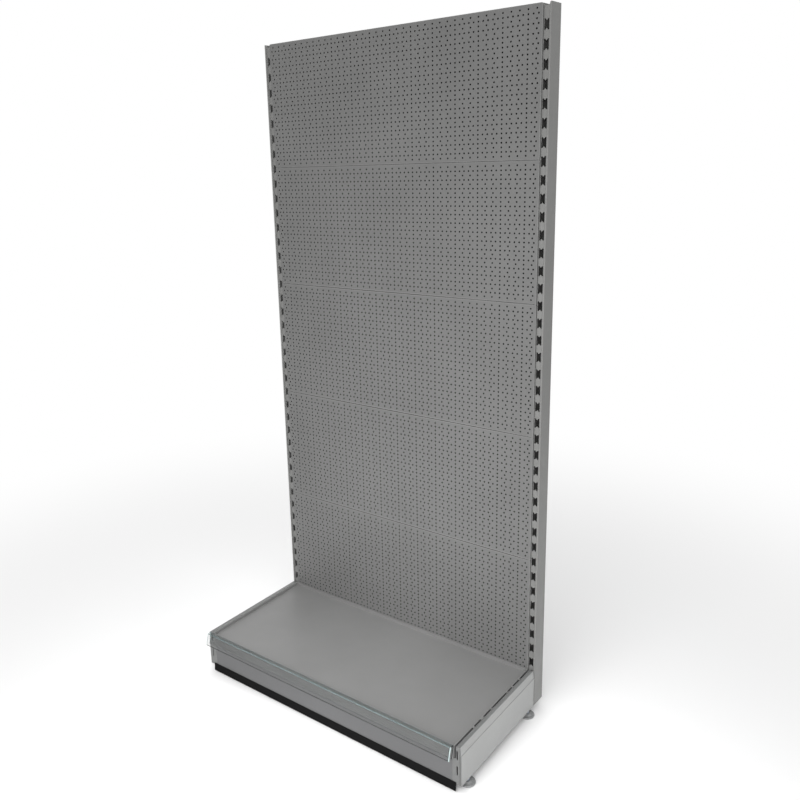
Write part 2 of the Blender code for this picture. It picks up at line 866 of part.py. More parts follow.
def kick_clip(name, side):
    """A spring clip on the leg; the tongue of the kick plate pushes into it."""
    section = mirrored(folded(CLIP_PATH, CLIP_T), side)
    button = box(
        side * CLIP_BUTTON_X[0],
        side * CLIP_BUTTON_X[1],
        CLIP_DEPTH - CLIP_BUTTON_HALF,
        CLIP_DEPTH + CLIP_BUTTON_HALF,
        CLIP_Z - CLIP_BUTTON_HALF,
        CLIP_Z + CLIP_BUTTON_HALF,
    )
    spring = prism(section, "Z", CLIP_Z - CLIP_HALF_H, CLIP_Z + CLIP_HALF_H)
    piece(name, [spring, button], CLIP_STEEL)


def kick_plate_skirt():
    """A strip along the kick plate's foot, cut away behind the leg fronts' plane."""
    section = [(LEG_FRONT + depth, z) for depth, z in SKIRT_SECTION]
    cuts = [
        box(
            side * (POST_INNER - 0.6),
            side * (POST_INNER + 30),
            LEG_FRONT - GAP,
            LEG_FRONT + 10,
            10,
            60,
        )
        for _, side in SIDES
    ]
    body = prism(section, "X", *SKIRT_X)
    piece("kick_plate_skirt", [body], SKIRT_RUBBER, cuts, parent=kick_pivot)


kick_plate()
for label, side in SIDES:
    kick_clip(f"kick_clip_{label}", side)
kick_plate_skirt()
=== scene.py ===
"""Looks for a gondola shelving wall bay: two slotted uprights on base legs,
five perforated back panels, a base shelf with a label rail, and a kick plate.

The bay stands on z = 0 and faces -y, with +x to the right seen from the front.
Pieces are drawn in millimetres: x across, depth from the front face of the back
panels (negative forward) and z up. Materials, lights and camera are in metres.
"""

import math

import bmesh
import bpy
from mathutils import Matrix, Vector


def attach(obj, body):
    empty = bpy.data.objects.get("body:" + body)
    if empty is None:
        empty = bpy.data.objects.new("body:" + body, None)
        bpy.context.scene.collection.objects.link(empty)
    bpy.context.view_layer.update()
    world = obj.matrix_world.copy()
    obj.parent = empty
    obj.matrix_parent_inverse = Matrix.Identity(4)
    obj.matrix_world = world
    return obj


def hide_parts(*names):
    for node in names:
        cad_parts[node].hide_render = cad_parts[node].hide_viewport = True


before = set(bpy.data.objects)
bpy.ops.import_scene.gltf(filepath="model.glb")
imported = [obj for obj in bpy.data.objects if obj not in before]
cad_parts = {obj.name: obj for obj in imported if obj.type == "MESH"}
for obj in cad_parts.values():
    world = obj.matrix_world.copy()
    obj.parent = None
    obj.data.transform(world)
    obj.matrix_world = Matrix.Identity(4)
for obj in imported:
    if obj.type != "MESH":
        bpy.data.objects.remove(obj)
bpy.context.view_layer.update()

# --------------------------------------------------------- main dimensions
SIDES = (("left", -1), ("right", 1))
FACE = 206.7  # y of the panels' front face
TOP = 2130.0
BAY_HALF = 500.0  # centre of the bay to the centre of an upright

SLOT_PITCH = 50.0
SLOT_TOP = TOP - 54.25  # middle of the highest slot
SLOT_COUNT = 41

PANEL_COUNT = 5
PANEL_PITCH = 400.0
PANEL_HEIGHT = 399.2
PANEL_HALF = 491.5
PANEL_SHEET = 1.0
PANEL_EDGE_RADIUS = 1.6
PANEL_RIM_DEPTH = 5.8

HOLE_RADIUS = 2.6
HOLE_SIDES = 12
HOLE_ROWS = 31
ROW_PITCH = 12.5
HOLE_PITCHES = (25.0, 15.0)  # even rows, odd rows
GRID_HALF = 487.5

TIE_BAR_HEIGHTS = {"top": 2052.0, "bottom": 66.0}

LEG_FRONT, LEG_BACK = -449.6, -0.4
LEG_SHEET = 1.5
FOOT_X = 503.0
FOOT_DEPTHS = {"front": -398.0, "rear": -25.0}
BUTTON_DEPTH, BUTTON_HEIGHT = -416.0, 70.0  # kick plate clip button

SHELF_LIP_TOP = (-450.4, 150.0)  # (depth, z) of the shelf's sloped front
SHELF_LIP_FOOT = (-459.4, 111.0)
LABEL_ENDS = (-505, 490)


def slot_height(number):
    """The middle of an upright's slot, counted down from 0."""
    return SLOT_TOP - SLOT_PITCH * number


def panel_top(index):
    return TOP - PANEL_PITCH * index


# ---------------------------------------------------------------- outlines
def fillet(points, radii, closed=True, steps=4):
    """A polyline with its corners rounded. radii is one number or one each."""
    count = len(points)
    if not isinstance(radii, (list, tuple)):
        radii = [radii] * count
    rounded = []
    for i in range(count):
        corner = Vector(points[i])
        to_last = Vector(points[i - 1]) - corner
        to_next = Vector(points[(i + 1) % count]) - corner
        last_way, next_way = to_last.normalized(), to_next.normalized()
        shortest = min(to_last.length, to_next.length)
        inner = math.acos(max(-1, min(1, last_way.dot(next_way))))
        open_end = not closed and i in (0, count - 1)
        bends = 0.03 <= inner <= math.pi - 0.03
        if open_end or radii[i] <= 0 or shortest < 1e-6 or not bends:
            rounded.append(tuple(corner))
            continue
        reach = min(radii[i] / math.tan(inner / 2), 0.49 * shortest)
        radius = reach * math.tan(inner / 2)
        centre = corner + (last_way + next_way).normalized() * (radius / math.sin(inner / 2))
        first = corner + last_way * reach - centre
        last = corner + next_way * reach - centre
        start = math.atan2(first.y, first.x)
        turn = (math.atan2(last.y, last.x) - start + math.pi) % (2 * math.pi) - math.pi
        parts = max(1, round(abs(turn) / (math.pi / 2) * steps))
        for j in range(parts + 1):
            angle = start + turn * j / parts
            rounded.append(
                (centre.x + radius * math.cos(angle), centre.y + radius * math.sin(angle))
            )
    return rounded


def sheet(path, thickness, bend=0.8, steps=4):
    """The section of a bent sheet: path is one face, the other lies to its right.

    bend is the radius inside each bend.
    """
    path = [Vector(point) for point in path]
    last = len(path) - 1
    ways = [(path[i + 1] - path[i]).normalized() for i in range(last)]
    rights = [Vector((way.y, -way.x)) for way in ways]
    other = [path[0] + rights[0] * thickness]
    path_radii, other_radii = [0.0], [0.0]
    for i in range(1, last):
        before, after = rights[i - 1], rights[i]
        other.append(path[i] + (before + after) * (thickness / (1 + before.dot(after))))
        turns_left = before.dot(ways[i]) < 0
        path_radii.append(bend if turns_left else bend + thickness)
        other_radii.append(bend + thickness if turns_left else bend)
    other.append(path[last] + rights[-1] * thickness)
    path_radii.append(0.0)
    other_radii.append(0.0)
    front = fillet(path, path_radii, False, steps)
    back = fillet(other, other_radii, False, steps)
    return front + back[::-1]


def flip(points, side):
    """The outline on the right (side 1) or mirrored to the left (side -1)."""
    return [(side * x, other) for x, other in points]


def shifted(points, across=0.0, up=0.0):
    return [(first + across, second + up) for first, second in points]


def rectangle(left, right, low, high):
    return [(left, low), (right, low), (right, high), (left, high)]


# ------------------------------------------------------------------ solids
def add_vert(solid, x, depth, z):
    return solid.verts.new(Vector((x, depth + FACE, z)) * 0.001)


def add_polar(solid, centre, radius, angle, z):
    """A vertex at an angle about the upright line through centre (x, depth)."""
    return add_vert(
        solid, centre[0] + radius * math.cos(angle), centre[1] + radius * math.sin(angle), z
    )


def sweep(outline, axis, low, high):
    """A closed prism. Outlines are (depth, z) along X, (x, z) along Y, (x, depth) along Z."""
    place = {
        "X": lambda point, along: (along, point[0], point[1]),
        "Y": lambda point, along: (point[0], along, point[1]),
        "Z": lambda point, along: (point[0], point[1], along),
    }[axis]
    solid = bmesh.new()
    start, end = [
        [add_vert(solid, *place(point, along)) for point in outline]
        for along in sorted((low, high))
    ]
    solid.faces.new(start)
    solid.faces.new(end[::-1])
    for i in range(len(outline)):
        j = (i + 1) % len(outline)
        solid.faces.new((start[i], end[i], end[j], start[j]))
    bmesh.ops.remove_doubles(solid, verts=solid.verts, dist=1e-8)
    bmesh.ops.recalc_face_normals(solid, faces=solid.faces)
    return solid


def block(x0, x1, depth0, depth1, z0, z1, radius=0.0):
    """A box with rounded upright edges."""
    x0, x1 = sorted((x0, x1))
    return sweep(fillet(rectangle(x0, x1, depth0, depth1), radius, True, 3), "Z", z0, z1)


def lathe(profile, centre, segments):
    """A turned shape about a vertical line, from (radius, z) points."""
    solid = bmesh.new()
    rings = []
    for radius, z in profile:
        count = 1 if radius < 1e-6 else segments
        rings.append(
            [add_polar(solid, centre, radius, 2 * math.pi * k / count, z) for k in range(count)]
        )
    for ring, following in zip(rings, rings[1:]):
        for k in range(segments):
            j = (k + 1) % segments
            if len(ring) == 1:
                solid.faces.new((ring[0], following[j], following[k]))
            elif len(following) == 1:
                solid.faces.new((ring[k], ring[j], following[0]))
            else:
                solid.faces.new((ring[k], ring[j], following[j], following[k]))
    bmesh.ops.recalc_face_normals(solid, faces=solid.faces)
    return solid


def hexagon(flats, centre, z0, z1, chamfer=0.7):
    """A hexagon bar, flats wide, with its points turned down at both ends."""
    segments = 36
    corner = flats / 2 / math.cos(math.pi / 6)
    turned = flats / 2 * 0.985
    solid = bmesh.new()
    rings = []
    for z, limit in ((z0, turned), (z0 + chamfer, corner), (z1 - chamfer, corner), (z1, turned)):
        ring = []
        for k in range(segments):
            angle = 2 * math.pi * k / segments
            from_flat = (angle + math.pi / 6) % (math.pi / 3) - math.pi / 6
            radius = min(flats / 2 / math.cos(from_flat), limit)
            ring.append(add_polar(solid, centre, radius, angle, z))
        rings.append(ring)
    for below, above in zip(rings, rings[1:]):
        for k in range(segments):
            j = (k + 1) % segments
            solid.faces.new((below[k], below[j], above[j], above[k]))
    solid.faces.new(rings[0][::-1])
    solid.faces.new(rings[-1])
    bmesh.ops.recalc_face_normals(solid, faces=solid.faces)
    return solid


def thread(centre, z0, z1, major, minor, pitch):
    """The helical ridge of a screw thread, between its two radii."""
    solid = bmesh.new()
    per_turn = 24
    turns = (z1 - z0) / pitch - 1
    # (radius, rise as a part of the pitch)
    ridge = ((minor, 0.0), (major, 0.36), (major, 0.56), (minor, 0.92))
    rows = []
    for k in range(int(turns * per_turn) + 1):
        angle = 2 * math.pi * k / per_turn
        lead = z0 + pitch * k / per_turn
        rows.append(
            [add_polar(solid, centre, radius, angle, lead + part * pitch) for radius, part in ridge]
        )
    for row, following in zip(rows, rows[1:]):
        for j in range(3):
            solid.faces.new((row[j], following[j], following[j + 1], row[j + 1]))
    solid.faces.new(rows[0])
    solid.faces.new(rows[-1][::-1])
    return solid


# ------------------------------------------------------------------ pieces
def into_object(name, solid):
    mesh = bpy.data.meshes.new(name)
    solid.to_mesh(mesh)
    solid.free()
    made = bpy.data.objects.new(name, mesh)
    bpy.context.scene.collection.objects.link(made)
    return made


def gather(parts):
    whole = bmesh.new()
    for part in parts:
        spare = bpy.data.meshes.new("spare")
        part.to_mesh(spare)
        part.free()
        whole.from_mesh(spare)
        bpy.data.meshes.remove(spare)
    return whole


def cut(solid, cutters):
    """The solid with the cutters taken away, by one exact Boolean."""
    target = into_object("cut_target", solid)
    tool = into_object("cut_tool", gather(cutters))
    boolean = target.modifiers.new("cut", "BOOLEAN")
    boolean.operation = "DIFFERENCE"
    boolean.solver = "EXACT"
    boolean.object = tool
    bpy.context.view_layer.update()
    graph = bpy.context.evaluated_depsgraph_get()
    mesh = bpy.data.meshes.new_from_object(target.evaluated_get(graph))
    result = bmesh.new()
    result.from_mesh(mesh)
    for spent in (target, tool):
        bpy.data.objects.remove(spent, do_unlink=True)
    bpy.data.meshes.remove(mesh)
    return result


def piece(node, parts, body, material):
    """One visible piece that stands for one CAD node."""
    made = into_object("look_" + node, gather(parts))
    made.data.materials.clear()
    made.data.materials.append(material)
    made.data.shade_smooth()
    made.data.set_sharp_from_angle(angle=math.radians(32))
    normals = made.modifiers.new("even_normals", "WEIGHTED_NORMAL")
    normals.keep_sharp = True
    normals.weight = 80
    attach(made, body)
    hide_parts(node)


# ------------------------------------------------------------ shader nodes
class Graph:
    """The node tree of a material or world, with short ways to add to it.

    Wherever a value goes in, it is either a constant or another node's output.
    """

    def __init__(self, owner):
        owner.use_nodes = True
        self.owner = owner
        self.nodes = owner.node_tree.nodes
        self.links = owner.node_tree.links

    def feed(self, node, inputs):
        for key, value in inputs.items():
            if isinstance(value, bpy.types.NodeSocket):
                self.links.new(value, node.inputs[key])
            else:
                node.inputs[key].default_value = value

    def node(self, kind, inputs=None, **settings):
        made = self.nodes.new("ShaderNode" + kind)
        for name, value in settings.items():
            setattr(made, name, value)
        self.feed(made, inputs or {})
        return made

    def principled(self, inputs):
        """Fill in the Principled shader and return it."""
        shader = self.nodes["Principled BSDF"]
        self.feed(shader, inputs)
        return shader

    def mix_shaders(self, factor, first, second, output="Material Output"):
        """Send two mixed shader nodes to the output."""
        mixer = self.node("MixShader", {0: factor, 1: first.outputs[0], 2: second.outputs[0]})
        self.feed(self.nodes[output], {"Surface": mixer.outputs[0]})

    def object_coords(self):
        return self.node("TexCoord").outputs["Object"]

    def axes(self, vector):
        """The X, Y and Z outputs of a vector, by name."""
        return self.node("SeparateXYZ", {"Vector": vector}).outputs

    def noise(self, coords, scale, detail=2.0, rough=0.5, stretch=None):
        if stretch:
            mapping = self.node("Mapping", {"Scale": stretch, "Vector": coords})
            coords = mapping.outputs["Vector"]
        inputs = {"Scale": scale, "Detail": detail, "Roughness": rough, "Vector": coords}
        return self.node("TexNoise", inputs).outputs["Fac"]

    def ramp(self, value, span, out, **settings):
        """value, rescaled from the limits in span to those in out."""
        inputs = {
            "From Min": span[0],
            "From Max": span[1],
            "To Min": out[0],
            "To Max": out[1],
            "Value": value,
        }
        return self.node("MapRange", inputs, **settings).outputs["Result"]

    def math(self, operation, *values):
        return self.node("Math", dict(enumerate(values)), operation=operation).outputs[0]

    def times(self, first, second):
        return self.math("MULTIPLY", first, second)

    def blend(self, factor, *colours):
        """A mix of two colours; a constant one is an (r, g, b) tuple."""
        first, second = [(*c, 1.0) if isinstance(c, tuple) else c for c in colours]
        return self.node("Mix", {0: factor, 6: first, 7: second}, data_type="RGBA").outputs[2]

    def band(self, value, low, high, soft=0.0002):
        """1 where low < value < high."""
        rise = self.ramp(value, span=(low - soft, low + soft), out=(0.0, 1.0))
        fall = self.ramp(value, span=(high - soft, high + soft), out=(1.0, 0.0))
        return self.times(rise, fall)

    def edge_mask(self, radius):
        """1 on outside edges and bends, 0 on flats."""
        softened = self.node("Bevel", {"Radius": radius}, samples=4)
        geometry = self.node("NewGeometry")
        likeness = self.node(
            "VectorMath",
            {0: softened.outputs["Normal"], 1: geometry.outputs["Normal"]},
            operation="DOT_PRODUCT",
        )
        return self.ramp(likeness.outputs["Value"], span=(0.985, 0.86), out=(0.0, 1.0))

    def bump(self, height, strength, distance):
        inputs = {"Strength": strength, "Distance": distance, "Height": height}
        return self.node("Bump", inputs).outputs["Normal"]


def new_material(name):
    return Graph(bpy.data.materials.new(name))


def shade(colour, gain, lift=0.0):
    return tuple(min(1.0, channel * gain + lift) for channel in colour)


# --------------------------------------------------------------- materials
def coat_base(graph, colour, wide, mottle, grain):
    """Broad tone changes, then lighter spots, then darker grain."""
    broad = graph.ramp(wide, span=(0.3, 0.7), out=(0, 1))
    tone = graph.blend(broad, shade(colour, gain=0.93), shade(colour, gain=1.07))
    spots = graph.ramp(mottle, span=(0.45, 0.8), out=(0.0, 0.35))
    tone = graph.blend(spots, tone, shade(colour, gain=1.12))
    pits = graph.ramp(grain, span=(0.35, 0.7), out=(0.0, 0.55))
    return graph.blend(pits, tone, shade(colour, gain=0.8))


def coat_wear_and_highlight(graph, tone, colour, scuff, wear_and_highlight_attribute):
    """Edges rubbed in patches over an even painted highlight on every edge, and scattered scuffs.
    """
    # lighter tone for rubbed wear and scuffs, and for the painted edge highlight
    wear_and_highlight_tone = shade(colour, gain=1.5, lift=0.03)
    if wear_and_highlight_attribute:
        mask = graph.node("Attribute", attribute_name="wear_and_highlight").outputs["Fac"]
        # painted highlight: every marked rim edge gets at least half the lighter tone
        even_edge_highlight = 0.5
    else:
        mask = graph.edge_mask(radius=0.0016)
        # painted highlight: every bevelled edge gets a little of the lighter tone
        even_edge_highlight = 0.12
    # patches of rubbed wear on top of the even painted highlight
    patch = graph.ramp(scuff, span=(0.40, 0.62), out=(even_edge_highlight, 0.8))
    tone = graph.blend(graph.times(mask, patch), tone, wear_and_highlight_tone)
    marks = graph.ramp(scuff, span=(0.66, 0.78), out=(0.0, 0.22))
    return graph.blend(marks, tone, wear_and_highlight_tone)


def paint_flank_light(graph, tone, flank):
    """Painted light: scale the tone up on faces that look sideways, so they read as lit from the
    side.
    """
    normal = graph.axes(graph.node("NewGeometry").outputs["Normal"])
    sideways = graph.math("ABSOLUTE", normal["X"])
    gain = graph.ramp(sideways, span=(0.3, 0.9), out=(1.0, flank))
    scaled = graph.node("VectorMath", {0: tone, "Scale": gain}, operation="SCALE")
    return scaled.outputs["Vector"]


def paint_hollow_shade(graph, tone, colour, coords, shaded_hollows):
    """Painted shade: darken the inside of a part, where the light hardly reaches."""
    place = graph.axes(coords)
    across = graph.math("ABSOLUTE", place["X"])
    for x_limits, depth_limits, z_limits in shaded_hollows:
        inside = 1.0
        for value, (low, high), origin in (
            (across, x_limits, 0.0),
            (place["Y"], depth_limits, FACE),
            (place["Z"], z_limits, 0.0),
        ):
            within = graph.band(
                value, (origin + low) / 1000, (origin + high) / 1000, soft=0.00005
            )
            inside = graph.times(within, inside)
        # painted shade: the coat's colour at a sixth of its brightness inside the hollow
        tone = graph.blend(inside, tone, shade(colour, gain=0.16))
    return tone


def powder_coat(name, colour, roughness, seed, wear_and_highlight_attribute=False, flank=1.0, shaded_hollows=()):
    """Fine-texture powder coat: orange peel, mottling, rubbed edges with a painted highlight,
    scuffs.

    seed moves the pattern. wear_and_highlight_attribute takes the rubbed and
    painted-highlight edges from the mesh's own "wear_and_highlight". flank
    lightens the faces that look sideways, as painted light from the side.
    shaded_hollows lists spaces painted dark as shade, as their (low, high)
    limits in |x|, in depth and in z, in mm.
    """
    graph = new_material(name)
    coords = graph.object_coords()
    mapping = graph.node("Mapping", {"Location": (seed, seed * 0.7, -seed), "Vector": coords})
    moved = mapping.outputs["Vector"]
    wide = graph.noise(moved, scale=3.2, detail=3.0, rough=0.55)
    mottle = graph.noise(moved, scale=26.0, detail=4.0, rough=0.6)
    grain = graph.noise(moved, scale=850.0, rough=0.6)
    scuff = graph.noise(moved, scale=42.0, detail=8.0, rough=0.72, stretch=(1.0, 1.0, 0.35))
    tone = coat_base(graph, colour, wide, mottle, grain)
    tone = coat_wear_and_highlight(graph, tone, colour, scuff, wear_and_highlight_attribute)
    # painted side light on the faces that look sideways
    if flank != 1.0:
        tone = paint_flank_light(graph, tone, flank)
    # painted shade inside the listed hollows
    if shaded_hollows:
        tone = paint_hollow_shade(graph, tone, colour, coords, shaded_hollows)
    graph.principled({
        "Base Color": tone,
        "Roughness": graph.ramp(
            mottle, span=(0.3, 0.7), out=(roughness - 0.05, roughness + 0.07)
        ),
        "Normal": graph.bump(grain, strength=0.4, distance=0.0003),
        "Specular IOR Level": 0.45,
    })
    return graph.owner


def bright_metal(name, colour, roughness):
    """Clouded bright metal with paler edges."""
    graph = new_material(name)
    coords = graph.object_coords()
    cloud = graph.noise(coords, scale=120.0, detail=4.0, rough=0.6)
    fine = graph.noise(coords, scale=1500.0)
    clouding = graph.ramp(cloud, span=(0.35, 0.7), out=(0.0, 1.0))
    tone = graph.blend(clouding, colour, shade(colour, gain=0.72))
    edge = graph.times(graph.edge_mask(radius=0.0006), 0.5)
    tone = graph.blend(edge, tone, (0.82, 0.84, 0.86))
    graph.principled({
        "Base Color": tone,
        "Metallic": 1.0,
        "Roughness": graph.ramp(
            cloud, span=(0.3, 0.7), out=(roughness - 0.08, roughness + 0.14)
        ),
        "Normal": graph.bump(fine, strength=0.15, distance=0.0002),
    })
    return graph.owner


def moulded(name, colour, roughness, grain_scale=600.0, stretch=None, worn=0.35, specular=0.5):
    """Moulded or extruded plastic or rubber; worn lightens its edges."""
    graph = new_material(name)
    coords = graph.object_coords()
    cloud = graph.noise(coords, scale=40.0, detail=4.0, rough=0.6, stretch=stretch)
    grain = graph.noise(coords, scale=grain_scale, stretch=stretch)
    clouding = graph.ramp(cloud, span=(0.3, 0.75), out=(0.0, 1.0))
    tone = graph.blend(clouding, shade(colour, gain=0.85), shade(colour, gain=1.2))
    edge = graph.times(graph.edge_mask(radius=0.0008), worn)
    tone = graph.blend(edge, tone, shade(colour, gain=1.7, lift=0.01))
    graph.principled({
        "Base Color": tone,
        "Roughness": graph.ramp(
            cloud, span=(0.3, 0.7), out=(roughness - 0.06, roughness + 0.1)
        ),
        "Normal": graph.bump(grain, strength=0.2, distance=0.0003),
        "Specular IOR Level": specular,
    })
    return graph.owner


def clear_plastic(name, film, edges, ends):
    """Clear extrusion: a faint film, with painted highlights and painted shade lines along its
    edges.

    film is the alpha seen face on. edges are (z from, z to, alpha, colour)
    strips along the length and ends are (x from, x to, alpha, colour)
    strips at the cut ends, in metres; each paints light or shade into an edge.
    """
    graph = new_material(name)
    coords = graph.object_coords()
    drawn = graph.noise(coords, scale=420.0, stretch=(0.004, 1.0, 1.0))
    haze = graph.noise(coords, scale=22.0, detail=5.0, rough=0.6)
    scratch = graph.noise(coords, scale=90.0, detail=6.0, rough=0.75, stretch=(0.15, 1.0, 1.0))
    place = graph.axes(coords)
    facing = graph.node("LayerWeight", {"Blend": 0.35}).outputs["Facing"]
    alpha = graph.ramp(facing, span=(0.45, 1.0), out=(film, film + 0.4))
    scratches = graph.ramp(scratch, span=(0.6, 0.8), out=(0.0, 0.4))
    tone = graph.blend(scratches, (0.08, 0.09, 0.09), (0.4, 0.42, 0.42))
    # painted highlights and shade lines on the edges and cut ends, in the plastic's teal tint
    for axis, lit_and_shaded_strips in (("Z", edges), ("X", ends)):
        for low, high, strength, colour in lit_and_shaded_strips:
            mask = graph.band(place[axis], low, high)
            alpha = graph.math("MAXIMUM", alpha, graph.times(mask, strength))
            tone = graph.blend(mask, tone, colour)
    graph.principled({
        "Alpha": alpha,
        "Base Color": tone,
        "Roughness": graph.ramp(haze, span=(0.3, 0.75), out=(0.08, 0.2)),
        "Normal": graph.bump(drawn, strength=0.06, distance=0.0002),
        "IOR": 1.5,
    })
    return graph.owner


PANEL = powder_coat(
    "panel_coat", colour=(0.146, 0.146, 0.144), roughness=0.52, seed=0.0, wear_and_highlight_attribute=True
)
POST = powder_coat(
    "upright_coat",
    colour=(0.196, 0.196, 0.191),
    roughness=0.44,
    seed=1.7,
    # painted shade inside the channel, seen through the slots
    shaded_hollows=[((BAY_HALF - 13.05, BAY_HALF + 13.05), (8.6, 59.3), (0.0, 2200.0))],
)
LEG_INSIDE = (LEG_FRONT + 1.3, LEG_BACK - 1.3)
LEG = powder_coat(
    "leg_coat",
    colour=(0.155, 0.157, 0.155),
    roughness=0.36,
    seed=3.1,
    # painted light: sideways faces twice as light, as the side light falls on them
    flank=2.0,
    # painted shade inside the leg, seen through the gaps
    shaded_hollows=[
        ((486.3, 509.8), LEG_INSIDE, (25.3, 108.6)),
        ((498.8, 509.4), LEG_INSIDE, (108.6, 148.7)),
    ],
)
SHELF = powder_coat("shelf_coat", colour=(0.190, 0.190, 0.188), roughness=0.45, seed=5.3)
KICK = powder_coat("kick_coat", colour=(0.117, 0.1175, 0.120), roughness=0.46, seed=7.9)
BAR = powder_coat("tie_bar_coat", colour=(0.160, 0.160, 0.158), roughness=0.5, seed=9.2)
RAIL = clear_plastic(
    "rail_clear",
    film=0.05,
    # painted shade: a dark line along the top, and a dim one along the foot
    edges=[
        (0.1503, 0.152, 0.16, (0.05, 0.08, 0.08)),
        (0.1105, 0.1124, 0.15, (0.1, 0.12, 0.12)),
    ],
    # painted highlight on the left end, painted shade on the right end
    ends=[
        (-0.5052, -0.5036, 0.85, (0.5, 0.6, 0.6)),
        (0.4884, 0.4902, 0.85, (0.03, 0.04, 0.04)),
    ],
)
LENS = clear_plastic(
    "lens_clear",
    film=0.09,
    # painted highlight along the top edge in the plastic's teal, painted shade line along the foot
    edges=[
        (0.1487, 0.152, 0.6, (0.16, 0.23, 0.23)),
        (0.1105, 0.1124, 0.9, (0.02, 0.022, 0.022)),
    ],
    # painted highlight on the left end; the right end painted dark, then with a highlight
    ends=[
        (-0.5052, -0.5030, 0.9, (0.5, 0.56, 0.56)),
        (0.4850, 0.4866, 0.8, (0.03, 0.05, 0.05)),
        (0.4866, 0.4902, 0.92, (0.42, 0.5, 0.5)),
    ],
)
SKIRT = moulded(
    "skirt_rubber",
    colour=(0.005, 0.005, 0.0052),
    roughness=0.7,
    grain_scale=500.0,
    stretch=(0.05, 1, 1),
    worn=0.2,
    specular=0.08,
)
PAD = moulded("foot_plastic", colour=(0.24, 0.245, 0.245), roughness=0.5)
ZINC = bright_metal("zinc_plate", colour=(0.55, 0.62, 0.72), roughness=0.3)
CLIP = bright_metal("clip_steel", colour=(0.56, 0.58, 0.6), roughness=0.26)


# ------------------------------------------------------------- back panels
class PanMesh:
    """Faces on vertices shared by place, each vertex with its mark for rubbed wear and painted edge
    highlight.
    """

    def __init__(self):
        self.index_of = {}
        self.verts = []
        self.wear_and_highlight = []
        self.faces = []

    def vert(self, x, depth, z, wear_and_highlight=0.0):
        key = (round(x, 4), round(depth, 4), round(z, 4))
        if key not in self.index_of:
            self.index_of[key] = len(self.verts)
            self.verts.append((x * 0.001, (depth + FACE) * 0.001, z * 0.001))
            self.wear_and_highlight.append(wear_and_highlight)
        return self.index_of[key]

    def both_faces(self, loop):
        """An (x, z) loop on the front and the back of the sheet."""
        self.faces.append([self.vert(x, 0.0, z) for x, z in loop])
        self.faces.append([self.vert(x, PANEL_SHEET, z) for x, z in reversed(loop)])

    def to_bmesh(self):
        mesh = bpy.data.meshes.new("pan")
        mesh.from_pydata(self.verts, [], self.faces)
        solid = bmesh.new()
        solid.from_mesh(mesh)
        bpy.data.meshes.remove(mesh)
        layer = solid.verts.layers.float.new("wear_and_highlight")
        for vert, wear_and_highlight in zip(solid.verts, self.wear_and_highlight):
            vert[layer] = wear_and_highlight
        bmesh.ops.recalc_face_normals(solid, faces=solid.faces)
        return solid


def hole_rows(top):
    """Each row's middle height and the x of its cells' borders."""
    rows = []
    for k in range(HOLE_ROWS):
        pitch = HOLE_PITCHES[k % 2]
        count = round(2 * GRID_HALF / pitch)
        borders = [-GRID_HALF + pitch * j for j in range(count + 1)]
        rows.append((top - ROW_PITCH - ROW_PITCH * k, borders))
    return rows


def line_borders(rows, number):
    """Cell borders on the line above a row, from the rows on both sides."""
    beside = rows[max(number - 1, 0):number + 1]
    return sorted({round(x, 4) for _, borders in beside for x in borders})


def hole_cell(pan, left, right, middle, line_up, line_down):
    """The sheet round one hole, as an upper and a lower half, and its wall."""
    up, down = middle + ROW_PITCH / 2, middle - ROW_PITCH / 2
    centre = (left + right) / 2
    ring = []
    for j in range(HOLE_SIDES):
        angle = 2 * math.pi * j / HOLE_SIDES
        ring.append(
            (centre + HOLE_RADIUS * math.cos(angle), middle + HOLE_RADIUS * math.sin(angle))
        )
    half = HOLE_SIDES // 2
    above = [(x, up) for x in reversed(line_up) if left + 1e-3 < x < right - 1e-3]
    below = [(x, down) for x in line_down if left + 1e-3 < x < right - 1e-3]
    pan.both_faces(
        [(right, middle), (right, up)] + above + [(left, up), (left, middle)] + ring[half::-1]
    )
    pan.both_faces(
        [(left, middle), (left, down)]
        + below
        + [(right, down), (right, middle), ring[0]]
        + ring[: half - 1 : -1]
    )
    for (x0, z0), (x1, z1) in zip(ring, ring[1:] + ring[:1]):
        pan.faces.append([
            pan.vert(x0, 0.0, z0),
            pan.vert(x1, 0.0, z1),
            pan.vert(x1, PANEL_SHEET, z1),
            pan.vert(x0, PANEL_SHEET, z0),
        ])


CORNER_STEPS = 6


def flat_outline(top, low, corner):
    """The edge of the flat face with its outward directions, from the right."""
    radius = corner - PANEL_EDGE_RADIUS
    reach_x = PANEL_HALF - PANEL_EDGE_RADIUS - radius
    reach_top = top - PANEL_EDGE_RADIUS - radius
    reach_low = low + PANEL_EDGE_RADIUS + radius
    loop, outward = [], []
    for centre_x, centre_z, start in (
        (reach_x, reach_top, 0.0),
        (-reach_x, reach_top, 90.0),
        (-reach_x, reach_low, 180.0),
        (reach_x, reach_low, 270.0),
    ):
        for j in range(CORNER_STEPS + 1):
            angle = math.radians(start + 90.0 * j / CORNER_STEPS)
            way = (math.cos(angle), math.sin(angle))
            loop.append((centre_x + radius * way[0], centre_z + radius * way[1]))
            outward.append(way)
    return loop, outward


